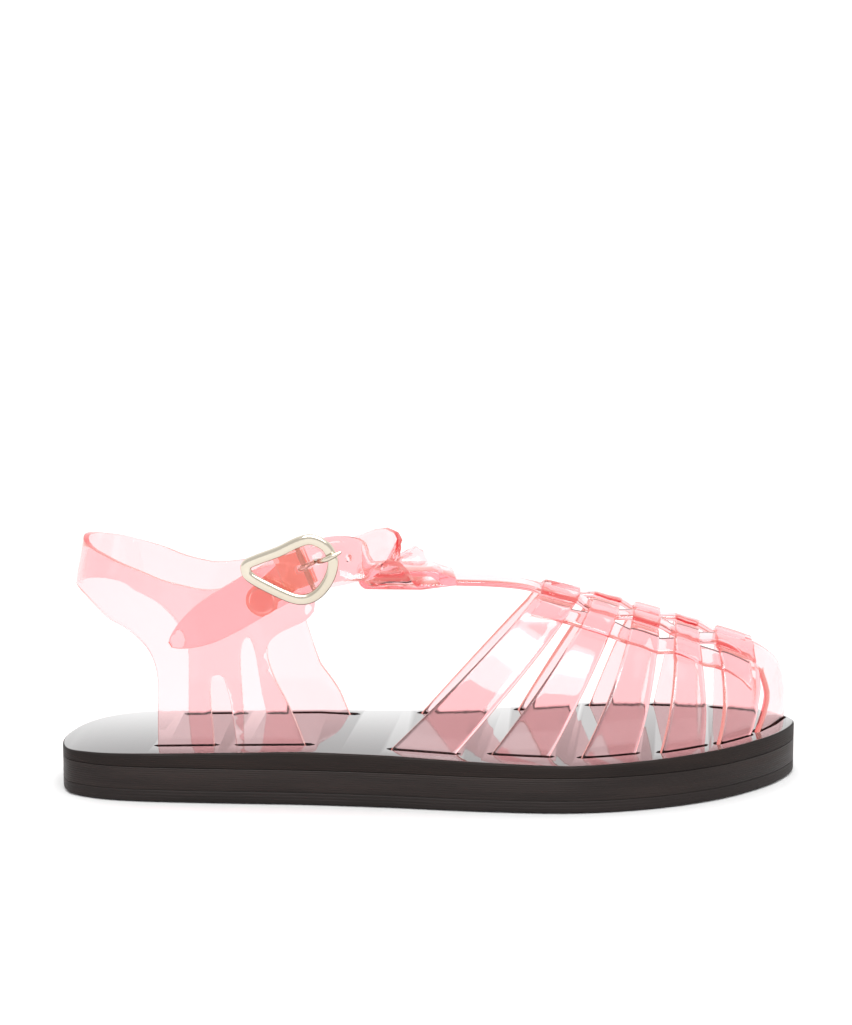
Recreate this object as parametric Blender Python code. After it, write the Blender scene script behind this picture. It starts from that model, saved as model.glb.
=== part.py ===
"""A right jelly sandal: stacked flat sole, woven jelly cage with a folded instep strap, jelly heel piece.

The toe points along +X, the inner (medial) side is +Y and Z is up. The origin is on the floor, under
the middle of the sole. Sizes are in metres. Each table has named columns, and its numbers are shares of
the named sizes that they follow.
"""
import math

import bmesh
import bpy
import numpy as np
from mathutils import Vector, geometry

# Sole
SOLE_LENGTH = 0.2500
SOLE_WIDTH = 0.0892
OUTSOLE_THICK = 0.0042
MIDSOLE_THICK = 0.0074
INSOLE_THICK = 0.0040
ARCH_RISE = 0.0021
LAYER_GAP = 0.0003
EDGE_ROUND = 0.0008
SLICES = 44

# Jelly wall, weave and fits
WALL = 0.0020
HEEL_WALL = 0.0019
WEAVE_OVERLAP = 0.0006
FIT_GAP = 0.0003
SLIT_END = 0.0012
LATERAL_INSET = 0.0100
MEDIAL_INSET = 0.0045

# Cage and instep strap
INSTEP_HEIGHT = 0.0540
ARCH_POWER = 2.2
BAND_WIDTH = 0.0064
BAND_PITCH_REAR = 0.0106
BAND_PITCH_FRONT = 0.0080
TOE_RISE = 0.0262
TOE_TOP_WIDTH = 0.0130
TOE_BULGE = 0.0008
LOOP_WIDTH = 0.0170
LOOP_LENGTH = 0.0330
LOOP_TURN = math.radians(8.0)
LOOP_LAP = 0.0030
LOOP_DROP = 0.0023

# Heel piece
HEEL_HALF_WIDTH = 0.02185
HEEL_DEPTH = 0.0295
HEEL_SET_IN = 0.0340
HEEL_LINE = -0.102
HEEL_SPAN = 0.1000
COLLAR_HEIGHT = 0.0848
COLLAR_LEAN = 0.20
LEAN_LEVEL = 0.0690
STRAP_WIDTH = 0.0153
PATTERN_STEP = 0.0043
STRAP_START = 2

# Buckle, measured along the strap, along the bar and outward from the tab's middle surface
BUCKLE_BACK = 0.0030
BUCKLE_LEVEL = 0.946
BUCKLE_SLOPE = math.radians(22.0)
BAR_OUT = 0.0036
BAR_RADIUS = 0.0008
STRAP_CLEAR = 0.0004
FRAME_RISE = 0.0017
FRAME_LENGTH = 0.0284
FRAME_BAND = 0.0032
FRAME_THICK = 0.0020
PIN_RADIUS = 0.00065
PIN_RING = 0.0017
PIN_REACH = 0.0147
PIN_CROSSING = 0.0055
PIN_SLOPE = math.radians(5.0)
HOLE_LENGTH = 0.0019
HOLE_WIDTH = 0.0012
CARRIER_WALL = 0.0009
CARRIER_WIDTH = 0.0120
CARRIER_SLOT = 0.0022
CARRIER_FOLD = 0.0019
STUD_RADIUS = 0.0043
STUD_TOP = 0.0043
STUD_BACK = 0.0180
STUD_DROP = 0.0056

# Outline of the sole: place along the length, outer and inner edge across the width, rise of the arch
OUTLINE = (
    (0.012, -0.352, 0.007, -0.35),
    (0.044, -0.425, 0.129, -0.15),
    (0.100, -0.464, 0.193, 0.10),
    (0.200, -0.470, 0.196, 0.50),
    (0.340, -0.462, 0.199, 1.00),
    (0.460, -0.473, 0.231, 0.80),
    (0.580, -0.497, 0.337, 0.35),
    (0.700, -0.491, 0.481, 0.00),
    (0.800, -0.414, 0.494, 0.30),
    (0.888, -0.272, 0.456, 0.55),
    (0.948, -0.105, 0.391, 0.65),
    (0.984, 0.052, 0.314, 0.60),
)
HEEL_TIP = -0.190
TOE_TIP = 0.203

# Ridge of the last: place along the length, place across the width, height over the footbed
CREST = (
    (0.620, 0.024, 0.987),
    (0.677, 0.080, 0.915),
    (0.739, 0.113, 0.830),
    (0.794, 0.147, 0.754),
    (0.848, 0.180, 0.674),
    (0.913, 0.225, 0.576),
    (0.948, 0.248, 0.511),
)

# Cross straps, heel to toe: middle and width along the length at the crest, at the outer foot and at the
# inner foot, and how far the outer foot is set in, as a share of the outer inset
CROSS_STRAPS = (
    (0.677, 0.050, 0.501, 0.088, 0.522, 0.084, 0.92),
    (0.739, 0.036, 0.631, 0.078, 0.652, 0.078, 1.20),
    (0.794, 0.036, 0.748, 0.072, 0.748, 0.072, 1.10),
    (0.848, 0.031, 0.846, 0.058, 0.834, 0.062, 0.84),
    (0.913, 0.051, 0.915, 0.044, 0.916, 0.056, 0.70),
)

# Line of the middle band: place along the length and across the width at the loop and at the toe
BAND_LINE = ((0.468, -0.100), (0.964, 0.147))

# Instep strap between the loop and the cage: along, height over the footbed, width as share of the loop's
INSTEP = (
    (0.522, 1.020, 1.00),
    (0.580, 1.006, 0.92),
    (0.622, 0.978, 0.72),
)

# Toe strap, top to foot: outer edge and inner edge, each by place along and across and by height
TOE_STRAP = (
    (0.9515, 0.050, 0.730, 0.970, 0.235, 0.820),
    (0.9580, 0.037, 0.500, 0.982, 0.249, 0.530),
    (0.9545, 0.030, 0.260, 0.984, 0.258, 0.275),
    (0.9460, 0.024, 0.000, 0.983, 0.265, 0.000),
)


# Edges of the heel piece laid flat: place from the middle of the back as a share of the span (outer side
# negative), and height as a share of the collar's
COLLAR_TOP = (
    (-0.952, 0.795), (-0.952, 0.832), (-0.930, 0.900), (-0.865, 0.953), (-0.795, 0.937), (-0.717, 0.893),
    (-0.673, 0.864), (-0.626, 0.840), (-0.570, 0.838), (-0.505, 0.852), (-0.435, 0.873), (-0.368, 0.904),
    (-0.276, 0.938), (-0.184, 0.967), (0.000, 1.000), (0.184, 0.967), (0.276, 0.938), (0.368, 0.904),
    (0.435, 0.873), (0.505, 0.852), (0.570, 0.844), (0.681, 0.861),
)
COLLAR_LOW = (
    (0.416, 0.144), (0.416, 0.300), (0.418, 0.453), (0.407, 0.538), (0.376, 0.609), (0.314, 0.673),
    (0.252, 0.706), (0.130, 0.790), (0.000, 0.816), (-0.130, 0.797), (-0.223, 0.764), (-0.266, 0.726),
    (-0.344, 0.673), (-0.405, 0.600), (-0.446, 0.508), (-0.452, 0.425), (-0.450, 0.300), (-0.449, 0.144),
)
OUTER_FRONT = (
    (-0.932, 0.144), (-0.915, 0.212), (-0.865, 0.362), (-0.813, 0.485), (-0.789, 0.577), (-0.796, 0.628),
    (-0.833, 0.670), (-0.918, 0.720), (-0.948, 0.757),
)
INNER_FRONT = (
    (0.972, 0.144), (0.960, 0.219), (0.946, 0.308), (0.918, 0.414), (0.891, 0.519), (0.867, 0.602),
    (0.860, 0.648), (0.875, 0.696),
)
OUTER_SLOT = (
    (-0.608, 0.144), (-0.603, 0.260), (-0.595, 0.390), (-0.595, 0.448), (-0.605, 0.489), (-0.636, 0.490),
    (-0.649, 0.454), (-0.668, 0.354), (-0.690, 0.144),
)
INNER_SLOT = (
    (0.645, 0.144), (0.640, 0.260), (0.633, 0.425), (0.640, 0.500), (0.662, 0.534), (0.679, 0.501),
    (0.693, 0.429), (0.709, 0.302), (0.738, 0.144),
)

# Middle line of the ankle strap, from the inner side over the instep to the tip of its tail: the piece that
# a row follows, its place ahead, across and up from that piece, and the lean of the strap's width from
# upright, in right angles
ANKLE_STRAP = (
    ("heel", 0.000, 1.000, 0.792, 0.00),
    ("heel", 0.410, 1.000, 0.792, 0.00),
    ("heel", 0.510, 1.000, 0.836, 0.00),
    ("heel", 0.610, 0.940, 0.858, 0.10),
    ("heel", 0.690, 0.830, 0.893, 0.10),
    ("loop", -0.260, 1.000, 0.330, 0.14),
    ("loop", -0.150, 0.920, 0.270, 0.42),
    ("loop", -0.075, 0.860, 0.150, 0.80),
    ("loop", -0.032, 0.740, -0.004, 1.00),
    ("loop", -0.030, 0.420, 0.000, 1.00),
    ("loop", -0.048, -0.315, 0.000, 1.00),
    ("loop", -0.074, -0.740, 0.006, 1.00),
    ("loop", -0.094, -0.860, 0.045, 0.97),
    ("loop", -0.140, -0.970, 0.180, 0.86),
    ("loop", -0.230, -1.080, 0.390, 0.74),
    ("loop", -0.350, -1.200, 0.550, 0.60),
    ("buckle", 0.438, 0.360, 0.095, 0.46),
    ("buckle", 0.225, 0.740, 0.077, 0.28),
    ("buckle", 0.000, 1.000, 0.000, 0.25),
    ("buckle", -0.285, 0.822, -0.167, 0.31),
    ("buckle", -0.532, 0.768, -0.306, 0.34),
    ("buckle", -0.796, 0.671, -0.471, 0.36),
    ("buckle", -1.606, 0.330, -0.976, 0.35),
)

# Width of the tail near its tip: distance from the tip and width, both as shares of the strap's width
TAIL = ((1.60, 1.00), (0.95, 0.90), (0.50, 0.68), (0.18, 0.40), (0.00, 0.14))

# Middle line of the buckle's frame, from its front over its upper side: ahead of the bar and up along it,
# as shares of the frame's length
FRAME_LINE = (
    (0.377, 0.035), (0.356, 0.162), (0.239, 0.289), (0.085, 0.320), (-0.176, 0.300), (-0.440, 0.302),
    (-0.585, 0.292), (-0.623, 0.225), (-0.606, 0.137), (-0.465, -0.039), (-0.250, -0.261), (-0.092, -0.338),
    (0.074, -0.320), (0.239, -0.218), (0.352, -0.077),
)


def smooth_line(points, steps, closed=False):
    """Points on a smooth curve through the given points, with so many steps to a span."""
    rows = [np.asarray(p, float) for p in points]
    count = len(rows)
    spans = count if closed else count - 1
    line = []
    for i in range(spans):
        if closed:
            a, b, c, d = (rows[(i + k) % count] for k in (-1, 0, 1, 2))
        else:
            b, c = rows[i], rows[i + 1]
            a = rows[i - 1] if i > 0 else 2.0 * b - c
            d = rows[i + 2] if i + 2 < count else 2.0 * c - b
        for k in range(steps):
            t = k / steps
            line.append(0.5 * (2.0 * b + (c - a) * t + (2.0 * a - 5.0 * b + 4.0 * c - d) * t ** 2
                               + (3.0 * (b - c) + d - a) * t ** 3))
    if not closed:
        line.append(rows[-1])
    return np.array(line)


def along(share):
    """X of a place given as a share of the sole's length from the heel."""
    return (share - 0.5) * SOLE_LENGTH


def across(share):
    """Y of a place given as a share of the sole's width from its middle line."""
    return share * SOLE_WIDTH


def outline_halves():
    """Outer and inner halves of the sole's edge as rows of x and y, heel to toe."""
    heel = (along(0.0), across(HEEL_TIP))
    toe = (along(1.0), across(TOE_TIP))
    lateral = [(along(row[0]), across(row[1])) for row in OUTLINE]
    medial = [(along(row[0]), across(row[2])) for row in OUTLINE]
    ring = smooth_line([heel] + lateral + [toe] + medial[::-1], 14, closed=True)
    split = 14 * (len(OUTLINE) + 1)
    outer = ring[:split + 1]
    inner = np.vstack([ring[split:], ring[:1]])[::-1]
    return outer, inner


LATERAL_HALF, MEDIAL_HALF = outline_halves()
FLOOR_TO_MIDSOLE = OUTSOLE_THICK + LAYER_GAP
FLOOR_TO_INSOLE = FLOOR_TO_MIDSOLE + MIDSOLE_THICK + LAYER_GAP
FOOTBED_Z = FLOOR_TO_INSOLE + INSOLE_THICK
STRAP_FOOT_Z = FLOOR_TO_INSOLE + FIT_GAP - LAYER_GAP
LOOP_GAP = HEEL_WALL + 2.0 * FIT_GAP
LOOP_FRONT_X = along(INSTEP[0][0]) + LOOP_LAP
LOOP_REAR_X = LOOP_FRONT_X - LOOP_LENGTH
LOOP_LOW_Z = FOOTBED_Z + INSTEP[0][1] * INSTEP_HEIGHT - LOOP_DROP
HEEL_CENTRE_X = along(0.0) + HEEL_SET_IN
HEEL_CENTRE_Y = across(HEEL_LINE)
TAB_Y = HEEL_CENTRE_Y - HEEL_HALF_WIDTH
STRAP_OUT = BAR_OUT + CARRIER_FOLD + 0.5 * (CARRIER_WALL + HEEL_WALL) + STRAP_CLEAR
FRAME_OUT = STRAP_OUT + FRAME_RISE


def edge_y(x, side):
    """Y of the sole's edge at x; side is -1 for the outer edge and 1 for the inner one."""
    half = LATERAL_HALF if side < 0 else MEDIAL_HALF
    return float(np.interp(x, half[:, 0], half[:, 1]))


def footbed_z(x):
    """Height of the footbed at x."""
    places = [along(row[0]) for row in OUTLINE]
    rises = [row[3] * ARCH_RISE for row in OUTLINE]
    return FOOTBED_Z + float(np.interp(x, places, rises))


def foot_point(x, side, inset):
    """Point on the footbed at x, set in from the sole's edge square to that edge."""
    step = 0.002
    slope = (edge_y(x + step, side) - edge_y(x - step, side)) / (2.0 * step)
    y = edge_y(x, side) - side * inset * math.hypot(1.0, slope)
    return np.array([x, y, footbed_z(x)])


def crest_point(x):
    """Point on the ridge of the last at x."""
    ridge = smooth_line([(along(r[0]), across(r[1]), FOOTBED_Z + r[2] * INSTEP_HEIGHT) for r in CREST], 8)
    return np.array([x, np.interp(x, ridge[:, 0], ridge[:, 1]), np.interp(x, ridge[:, 0], ridge[:, 2])])


def strap_line(row, part):
    """Crest and feet of one line along a cross strap; part runs from -1 (rear edge) to 1 (front edge)."""
    crest, crest_width, lateral, lateral_width, medial, medial_width, inset = row
    top = crest_point(along(crest) + 0.5 * part * crest_width * SOLE_LENGTH)
    outer = foot_point(along(lateral) + 0.5 * part * lateral_width * SOLE_LENGTH, -1, inset * LATERAL_INSET)
    inner = foot_point(along(medial) + 0.5 * part * medial_width * SOLE_LENGTH, 1, MEDIAL_INSET)
    return top, outer, inner


def arch_at(line, y):
    """Point of the arch over the given crest and feet at y."""
    top, outer, inner = line
    foot = outer if y < top[1] else inner
    reach = min(abs((y - top[1]) / (foot[1] - top[1])), 1.0)
    lift = (1.0 - reach ** ARCH_POWER) ** (1.0 / ARCH_POWER)
    return np.array([foot[0] + (top[0] - foot[0]) * lift, y, foot[2] + (top[2] - foot[2]) * lift])


def band_y(x):
    """Y of the middle band at x."""
    (x0, y0), (x1, y1) = [(along(a), across(b)) for a, b in BAND_LINE]
    return y0 + (y1 - y0) * (x - x0) / (x1 - x0)


def band_pitch(x):
    """Distance between neighbouring bands at x."""
    first, last = along(CROSS_STRAPS[0][0]), along(CROSS_STRAPS[-1][0])
    t = min(max((x - first) / (last - first), 0.0), 1.0)
    return BAND_PITCH_REAR + (BAND_PITCH_FRONT - BAND_PITCH_REAR) * t


WEAVE = 0.5 * (WALL - WEAVE_OVERLAP)


def strap_offset(x, y, over_middle):
    """How far a cross strap stands out (over a band) or in (under it) at y."""
    turn = (y - band_y(x)) / band_pitch(x)
    if abs(turn) >= 1.5:
        return 0.0
    wave = math.cos(math.pi * turn)
    flat = max(-1.0, min(1.0, 1.6 * wave))
    return WEAVE * flat * (1.0 if over_middle else -1.0)


def grid_normals(grid, outward):
    """Unit normals of a grid of points, turned to the outward side."""
    rows = np.gradient(grid, axis=0)
    cols = np.gradient(grid, axis=1)
    normal = np.cross(rows, cols)
    normal /= np.linalg.norm(normal, axis=2, keepdims=True)
    return normal * outward


def slab(name, grid, offsets, wall, outward=1.0):
    """A closed wall of even thickness over a grid of points, moved along its normals by the offsets."""
    normal = grid_normals(grid, outward)
    middle = grid + normal * offsets[..., None]
    rows, cols = grid.shape[:2]
    mesh = bmesh.new()
    layers = []
    for side in (0.5 * wall, -0.5 * wall):
        points = middle + normal * side
        layers.append([[mesh.verts.new(points[i, j]) for j in range(cols)] for i in range(rows)])
    upper, lower = layers
    for i in range(rows - 1):
        for j in range(cols - 1):
            mesh.faces.new((upper[i][j], upper[i + 1][j], upper[i + 1][j + 1], upper[i][j + 1]))
            mesh.faces.new((lower[i][j], lower[i][j + 1], lower[i + 1][j + 1], lower[i + 1][j]))
    rim = [(i, 0) for i in range(rows)] + [(rows - 1, j) for j in range(1, cols)]
    rim += [(i, cols - 1) for i in range(rows - 2, -1, -1)] + [(0, j) for j in range(cols - 2, 0, -1)]
    for (i, j), (k, m) in zip(rim, rim[1:] + rim[:1]):
        mesh.faces.new((upper[i][j], lower[i][j], lower[k][m], upper[k][m]))
    return finish_mesh(name, mesh)


def finish_mesh(name, mesh):
    """An object from a bmesh, with its faces pointing out."""
    bmesh.ops.recalc_face_normals(mesh, faces=mesh.faces)
    data = bpy.data.meshes.new(name)
    mesh.to_mesh(data)
    mesh.free()
    item = bpy.data.objects.new(name, data)
    bpy.context.scene.collection.objects.link(item)
    return item


def material(name, colour, roughness, metallic=0.0):
    """A plain material of the given colour."""
    item = bpy.data.materials.new(name)
    item.use_nodes = True
    shader = item.node_tree.nodes["Principled BSDF"]
    shader.inputs["Base Color"].default_value = (*colour, 1.0)
    shader.inputs["Roughness"].default_value = roughness
    shader.inputs["Metallic"].default_value = metallic
    return item


def guide(item):
    """Marks an object as a cutter or an operand."""
    item.hide_render = True
    item.display_type = "WIRE"
    return item


def combine(item, others, operation):
    """Adds one exact Boolean for each other object."""
    for other in others:
        step = item.modifiers.new(other.name, "BOOLEAN")
        step.operation = operation
        step.solver = "EXACT"
        step.object = guide(other)
    return item


def sole_layer(name, bottom, top):
    """One layer of the sole as slices across it; bottom and top give the heights at x."""
    turn = np.linspace(0.0, math.pi, SLICES)
    places = along(0.5) - 0.5 * SOLE_LENGTH * np.cos(turn)
    mesh = bmesh.new()
    rings = []
    for k, x in enumerate(places):
        if k in (0, SLICES - 1):
            y = across(HEEL_TIP if k == 0 else TOE_TIP)
            ys = (y,)
        else:
            ys = (edge_y(x, -1), edge_y(x, 1))
        low = [mesh.verts.new((x, y, bottom(x))) for y in ys]
        high = [mesh.verts.new((x, y, top(x))) for y in ys]
        rings.append((low, high))
    for (low_a, high_a), (low_b, high_b) in zip(rings[:-1], rings[1:]):
        corners = ((low_a[0], low_b[0], high_b[0], high_a[0]), (low_a[-1], high_a[-1], high_b[-1], low_b[-1]))
        for quad in corners:
            mesh.faces.new(quad)
        for ring_a, ring_b, order in ((low_a, low_b, 1), (high_a, high_b, -1)):
            face = list(dict.fromkeys((ring_a[0], ring_a[-1], ring_b[-1], ring_b[0])))[::order]
            mesh.faces.new(face)
    item = finish_mesh(name, mesh)
    bevel = item.modifiers.new("edge", "BEVEL")
    bevel.width = EDGE_ROUND
    bevel.segments = 2
    bevel.limit_method = "ANGLE"
    bevel.angle_limit = math.radians(55.0)
    return item


def slit_cutter(name, line, wall):
    """A cutter for one foot's slit: the foot's line with clearance at its sides and ends."""
    first = (line[1] - line[0]) / np.linalg.norm(line[1] - line[0])
    last = (line[-1] - line[-2]) / np.linalg.norm(line[-1] - line[-2])
    longer = np.vstack([[line[0] - first * SLIT_END], line, [line[-1] + last * SLIT_END]])
    grid = np.array([longer + (0.0, 0.0, z) for z in (-3.0 * INSOLE_THICK, 2.0 * INSOLE_THICK)])
    return slab(name, grid, np.zeros(grid.shape[:2]), wall + 2.0 * FIT_GAP)


def cross_strap(number, row, over_middle):
    """One strap of the cage, from its outer foot over the last to its inner foot."""
    columns = []
    offsets = []
    turns = np.linspace(-1.0, 1.0, 33)
    for part in (-1.0, 0.0, 1.0):
        top, outer, inner = line = strap_line(row, part)
        points = []
        for turn in turns:
            foot = outer if turn < 0.0 else inner
            reach = abs(math.sin(0.5 * math.pi * turn)) ** (2.0 / ARCH_POWER)
            points.append(arch_at(line, top[1] + (foot[1] - top[1]) * reach))
        sunk_outer = outer * (1.0, 1.0, 0.0) + (0.0, 0.0, STRAP_FOOT_Z)
        sunk_inner = inner * (1.0, 1.0, 0.0) + (0.0, 0.0, STRAP_FOOT_Z)
        points = [sunk_outer] + points + [sunk_inner]
        columns.append(points)
        offsets.append([strap_offset(p[0], p[1], over_middle) for p in points])
    grid = np.array(columns).transpose(1, 0, 2)
    return slab(f"cross_strap_{number}", grid, np.array(offsets).T, WALL, -1.0)


def feet_of(row):
    """The two foot lines of a cross strap on the footbed."""
    lines = [strap_line(row, part) for part in (-1.0, 0.0, 1.0)]
    return [np.array([line[k] for line in lines]) for k in (1, 2)]


def band_rows(shift, stations):
    """Rows of points of a lengthwise band on the cage; shift counts pitches from the middle band.

    Each station names a cross strap, the part of its width and the band's width there.
    """
    rows = []
    for strap, part, width in stations:
        line = strap_line(CROSS_STRAPS[strap], part)
        x = line[0][0]
        y = band_y(x) + shift * band_pitch(x)
        rows.append([arch_at(line, y + side * 0.5 * width) for side in (-1.0, 0.0, 1.0)])
    return rows


def band_lifts(stations, over_even):
    """Offsets of a band at its stations: out over every other cross strap and in under the rest."""
    return [WEAVE if (strap % 2 == 0) == over_even else -WEAVE for strap, part, width in stations]


def side_band(name, shift):
    """An outer or inner band, which ends under the first and the last cross strap."""
    last = len(CROSS_STRAPS) - 1
    stations = [(0, -0.6, BAND_WIDTH), (0, 0.0, BAND_WIDTH), (0, 1.0, BAND_WIDTH)]
    stations += [(k, part, BAND_WIDTH) for k in range(1, last) for part in (-1.0, 0.0, 1.0)]
    stations += [(last, -1.0, BAND_WIDTH), (last, 0.0, BAND_WIDTH), (last, 0.6, BAND_WIDTH)]
    grid = smooth_line(band_rows(shift, stations), 2)
    lifts = smooth_line([[lift] * 3 for lift in band_lifts(stations, over_even=False)], 2)
    return slab(name, grid, lifts, WALL, 1.0)


def width_direction():
    """Direction across the instep strap, from its outer to its inner edge."""
    return np.array([-math.sin(LOOP_TURN), math.cos(LOOP_TURN), 0.0])


def toe_rows():
    """Rows of points of the toe strap, from under the last cross strap to its foot on the footbed."""
    rows = []
    for outer_x, outer_y, outer_z, inner_x, inner_y, inner_z in TOE_STRAP:
        base = footbed_z(along(outer_x))
        outer = np.array([along(outer_x), across(outer_y), base + outer_z * TOE_RISE])
        inner = np.array([along(inner_x), across(inner_y), base + inner_z * TOE_RISE])
        rows.append([outer, 0.5 * (outer + inner) + (TOE_BULGE, 0.0, 0.0), inner])
    return rows


def middle_band():
    """The middle band: instep strap, woven stretch and wide toe strap down to its foot."""
    rows = []
    for share, height, width in INSTEP:
        x = along(share)
        centre = np.array([x, band_y(x), FOOTBED_Z + height * INSTEP_HEIGHT])
        half = 0.5 * width * LOOP_WIDTH * width_direction()
        rows.append([centre - half, centre, centre + half])
    last = len(CROSS_STRAPS) - 1
    stations = [(k, part, BAND_WIDTH) for k in range(last) for part in (-1.0, 0.0, 1.0)]
    stations += [(last, -1.0, BAND_WIDTH), (last, 0.0, 1.15 * BAND_WIDTH), (last, 1.0, TOE_TOP_WIDTH)]
    toe = toe_rows()
    lifts = [0.0] * len(rows) + band_lifts(stations, over_even=True) + [0.0] * len(toe)
    grid = smooth_line(rows + band_rows(0.0, stations) + toe, 3)
    lifts = smooth_line([[lift] * 3 for lift in lifts], 3)
    sunk = grid[-1] * (1.0, 1.0, 0.0) + (0.0, 0.0, STRAP_FOOT_Z)
    grid = np.vstack([grid, [sunk]])
    lifts = np.vstack([lifts, [[0.0] * 3]])
    return slab("middle_band", grid, lifts, WALL, 1.0)


def instep_loop():
    """The folded end of the instep strap, a flat link that the ankle strap passes through."""
    height = 2.0 * WALL + LOOP_GAP
    radius = 0.5 * height
    centre_x = LOOP_REAR_X + radius
    middle_z = LOOP_LOW_Z + radius
    inner_radius = 0.5 * LOOP_GAP
    outer = [(LOOP_FRONT_X, LOOP_LOW_Z + 0.0014), (LOOP_FRONT_X, LOOP_LOW_Z + 0.0040),
             (LOOP_FRONT_X - 0.0075, LOOP_LOW_Z + height)]
    for k in range(9):
        turn = 0.5 * math.pi + math.pi * k / 8
        outer.append((centre_x + radius * math.cos(turn), middle_z + radius * math.sin(turn)))
    outer.append((LOOP_FRONT_X - 0.0120, LOOP_LOW_Z))
    inner = []
    for k in range(7):
        turn = 0.5 * math.pi + math.pi * k / 6
        inner.append((centre_x + inner_radius * math.cos(turn), middle_z + inner_radius * math.sin(turn)))
    inner.append((LOOP_FRONT_X - 0.0050, middle_z - inner_radius))
    inner.append((LOOP_FRONT_X - 0.0085, middle_z + inner_radius))
    shift = 0.5 * LOOP_WIDTH * width_direction()
    verts, faces = flat_pattern((outer, inner))
    return thick_pattern("instep_loop", verts, faces, lambda v, side: (
        v[0] + side * shift[0], band_y(v[0]) + side * shift[1], v[1]))


def within(ring, u, v):
    """Whether a flat point is inside a closed outline."""
    shape = np.array(ring)
    after = np.roll(shape, -1, axis=0)
    crosses = (shape[:, 1] > v) != (after[:, 1] > v)
    start, end = shape[crosses], after[crosses]
    at = start[:, 0] + (v - start[:, 1]) / (end[:, 1] - start[:, 1]) * (end[:, 0] - start[:, 0])
    return int(np.sum(u < at)) % 2 == 1


def flat_pattern(rings, inside=()):
    """Triangles of a flat shape: its outline, then its holes, with loose points inside it."""
    coords = []
    edges = []
    for ring in rings:
        first = len(coords)
        coords += [Vector(p) for p in ring]
        edges += [(first + k, first + (k + 1) % len(ring)) for k in range(len(ring))]
    coords += [Vector(p) for p in inside]
    verts, _, faces, *_ = geometry.delaunay_2d_cdt(coords, edges, [], 1, 1e-7)
    kept = []
    for face in faces:
        u, v = np.mean([verts[k] for k in face], axis=0)
        if within(rings[0], u, v) and not any(within(hole, u, v) for hole in rings[1:]):
            kept.append(face)
    return verts, kept


def thick_pattern(name, verts, faces, place):
    """A closed solid from a flat pattern; place gives a point's position on side -1 or 1."""
    mesh = bmesh.new()
    sides = [[mesh.verts.new(place(v, sign)) for v in verts] for sign in (-1.0, 1.0)]
    rim = {}
    for face in faces:
        mesh.faces.new([sides[0][k] for k in face])
        mesh.faces.new([sides[1][k] for k in reversed(face)])
        for a, b in zip(face, face[1:] + face[:1]):
            rim[(a, b)] = (b, a) not in rim
            if not rim[(a, b)]:
                rim[(b, a)] = False
    for (a, b), free in rim.items():
        if free:
            mesh.faces.new((sides[0][a], sides[0][b], sides[1][b], sides[1][a]))
    return finish_mesh(name, mesh)


def forefoot_upper(jelly):
    """The cage, instep strap and loop as one moulded piece."""
    straps = [cross_strap(k + 1, row, over_middle=k % 2 == 1) for k, row in enumerate(CROSS_STRAPS)]
    first = straps[0]
    first.name = "forefoot_upper"
    others = straps[1:] + [side_band("outer_band", -1.0), side_band("inner_band", 1.0)]
    others += [middle_band(), instep_loop()]
    combine(first, others, "UNION")
    first.modifiers.new("triangles", "TRIANGULATE")
    first.data.materials.append(jelly)
    return first


BACK_TURNS = np.linspace(-0.5 * math.pi, 0.5 * math.pi, 41)
BACK_LINE = np.array([
    (HEEL_CENTRE_X - HEEL_DEPTH * math.cos(t), HEEL_CENTRE_Y + HEEL_HALF_WIDTH * math.sin(t), LEAN_LEVEL)
    for t in BACK_TURNS])
BACK_STEPS = np.linalg.norm(np.diff(BACK_LINE, axis=0), axis=1)
BACK_HALF = 0.5 * BACK_STEPS.sum()
BUCKLE_X = HEEL_CENTRE_X - COLLAR_TOP[0][0] * HEEL_SPAN - BACK_HALF - BUCKLE_BACK
BUCKLE_Z = BUCKLE_LEVEL * COLLAR_HEIGHT


def strap_point(number):
    """Point of the ankle strap's middle line at a row of its table."""
    piece, ahead, side, up = ANKLE_STRAP[number][:4]
    if piece == "heel":
        return (HEEL_CENTRE_X + ahead * HEEL_SPAN, HEEL_CENTRE_Y + side * HEEL_HALF_WIDTH, up * COLLAR_HEIGHT)
    if piece == "buckle":
        return (BUCKLE_X + ahead * FRAME_LENGTH, TAB_Y - side * STRAP_OUT, BUCKLE_Z + up * FRAME_LENGTH)
    middle_x = 0.5 * (LOOP_REAR_X + LOOP_FRONT_X)
    return (middle_x + ahead * LOOP_LENGTH, band_y(middle_x) + side * LOOP_WIDTH,
            LOOP_LOW_Z + WALL + 0.5 * LOOP_GAP + up * LOOP_WIDTH)


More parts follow.
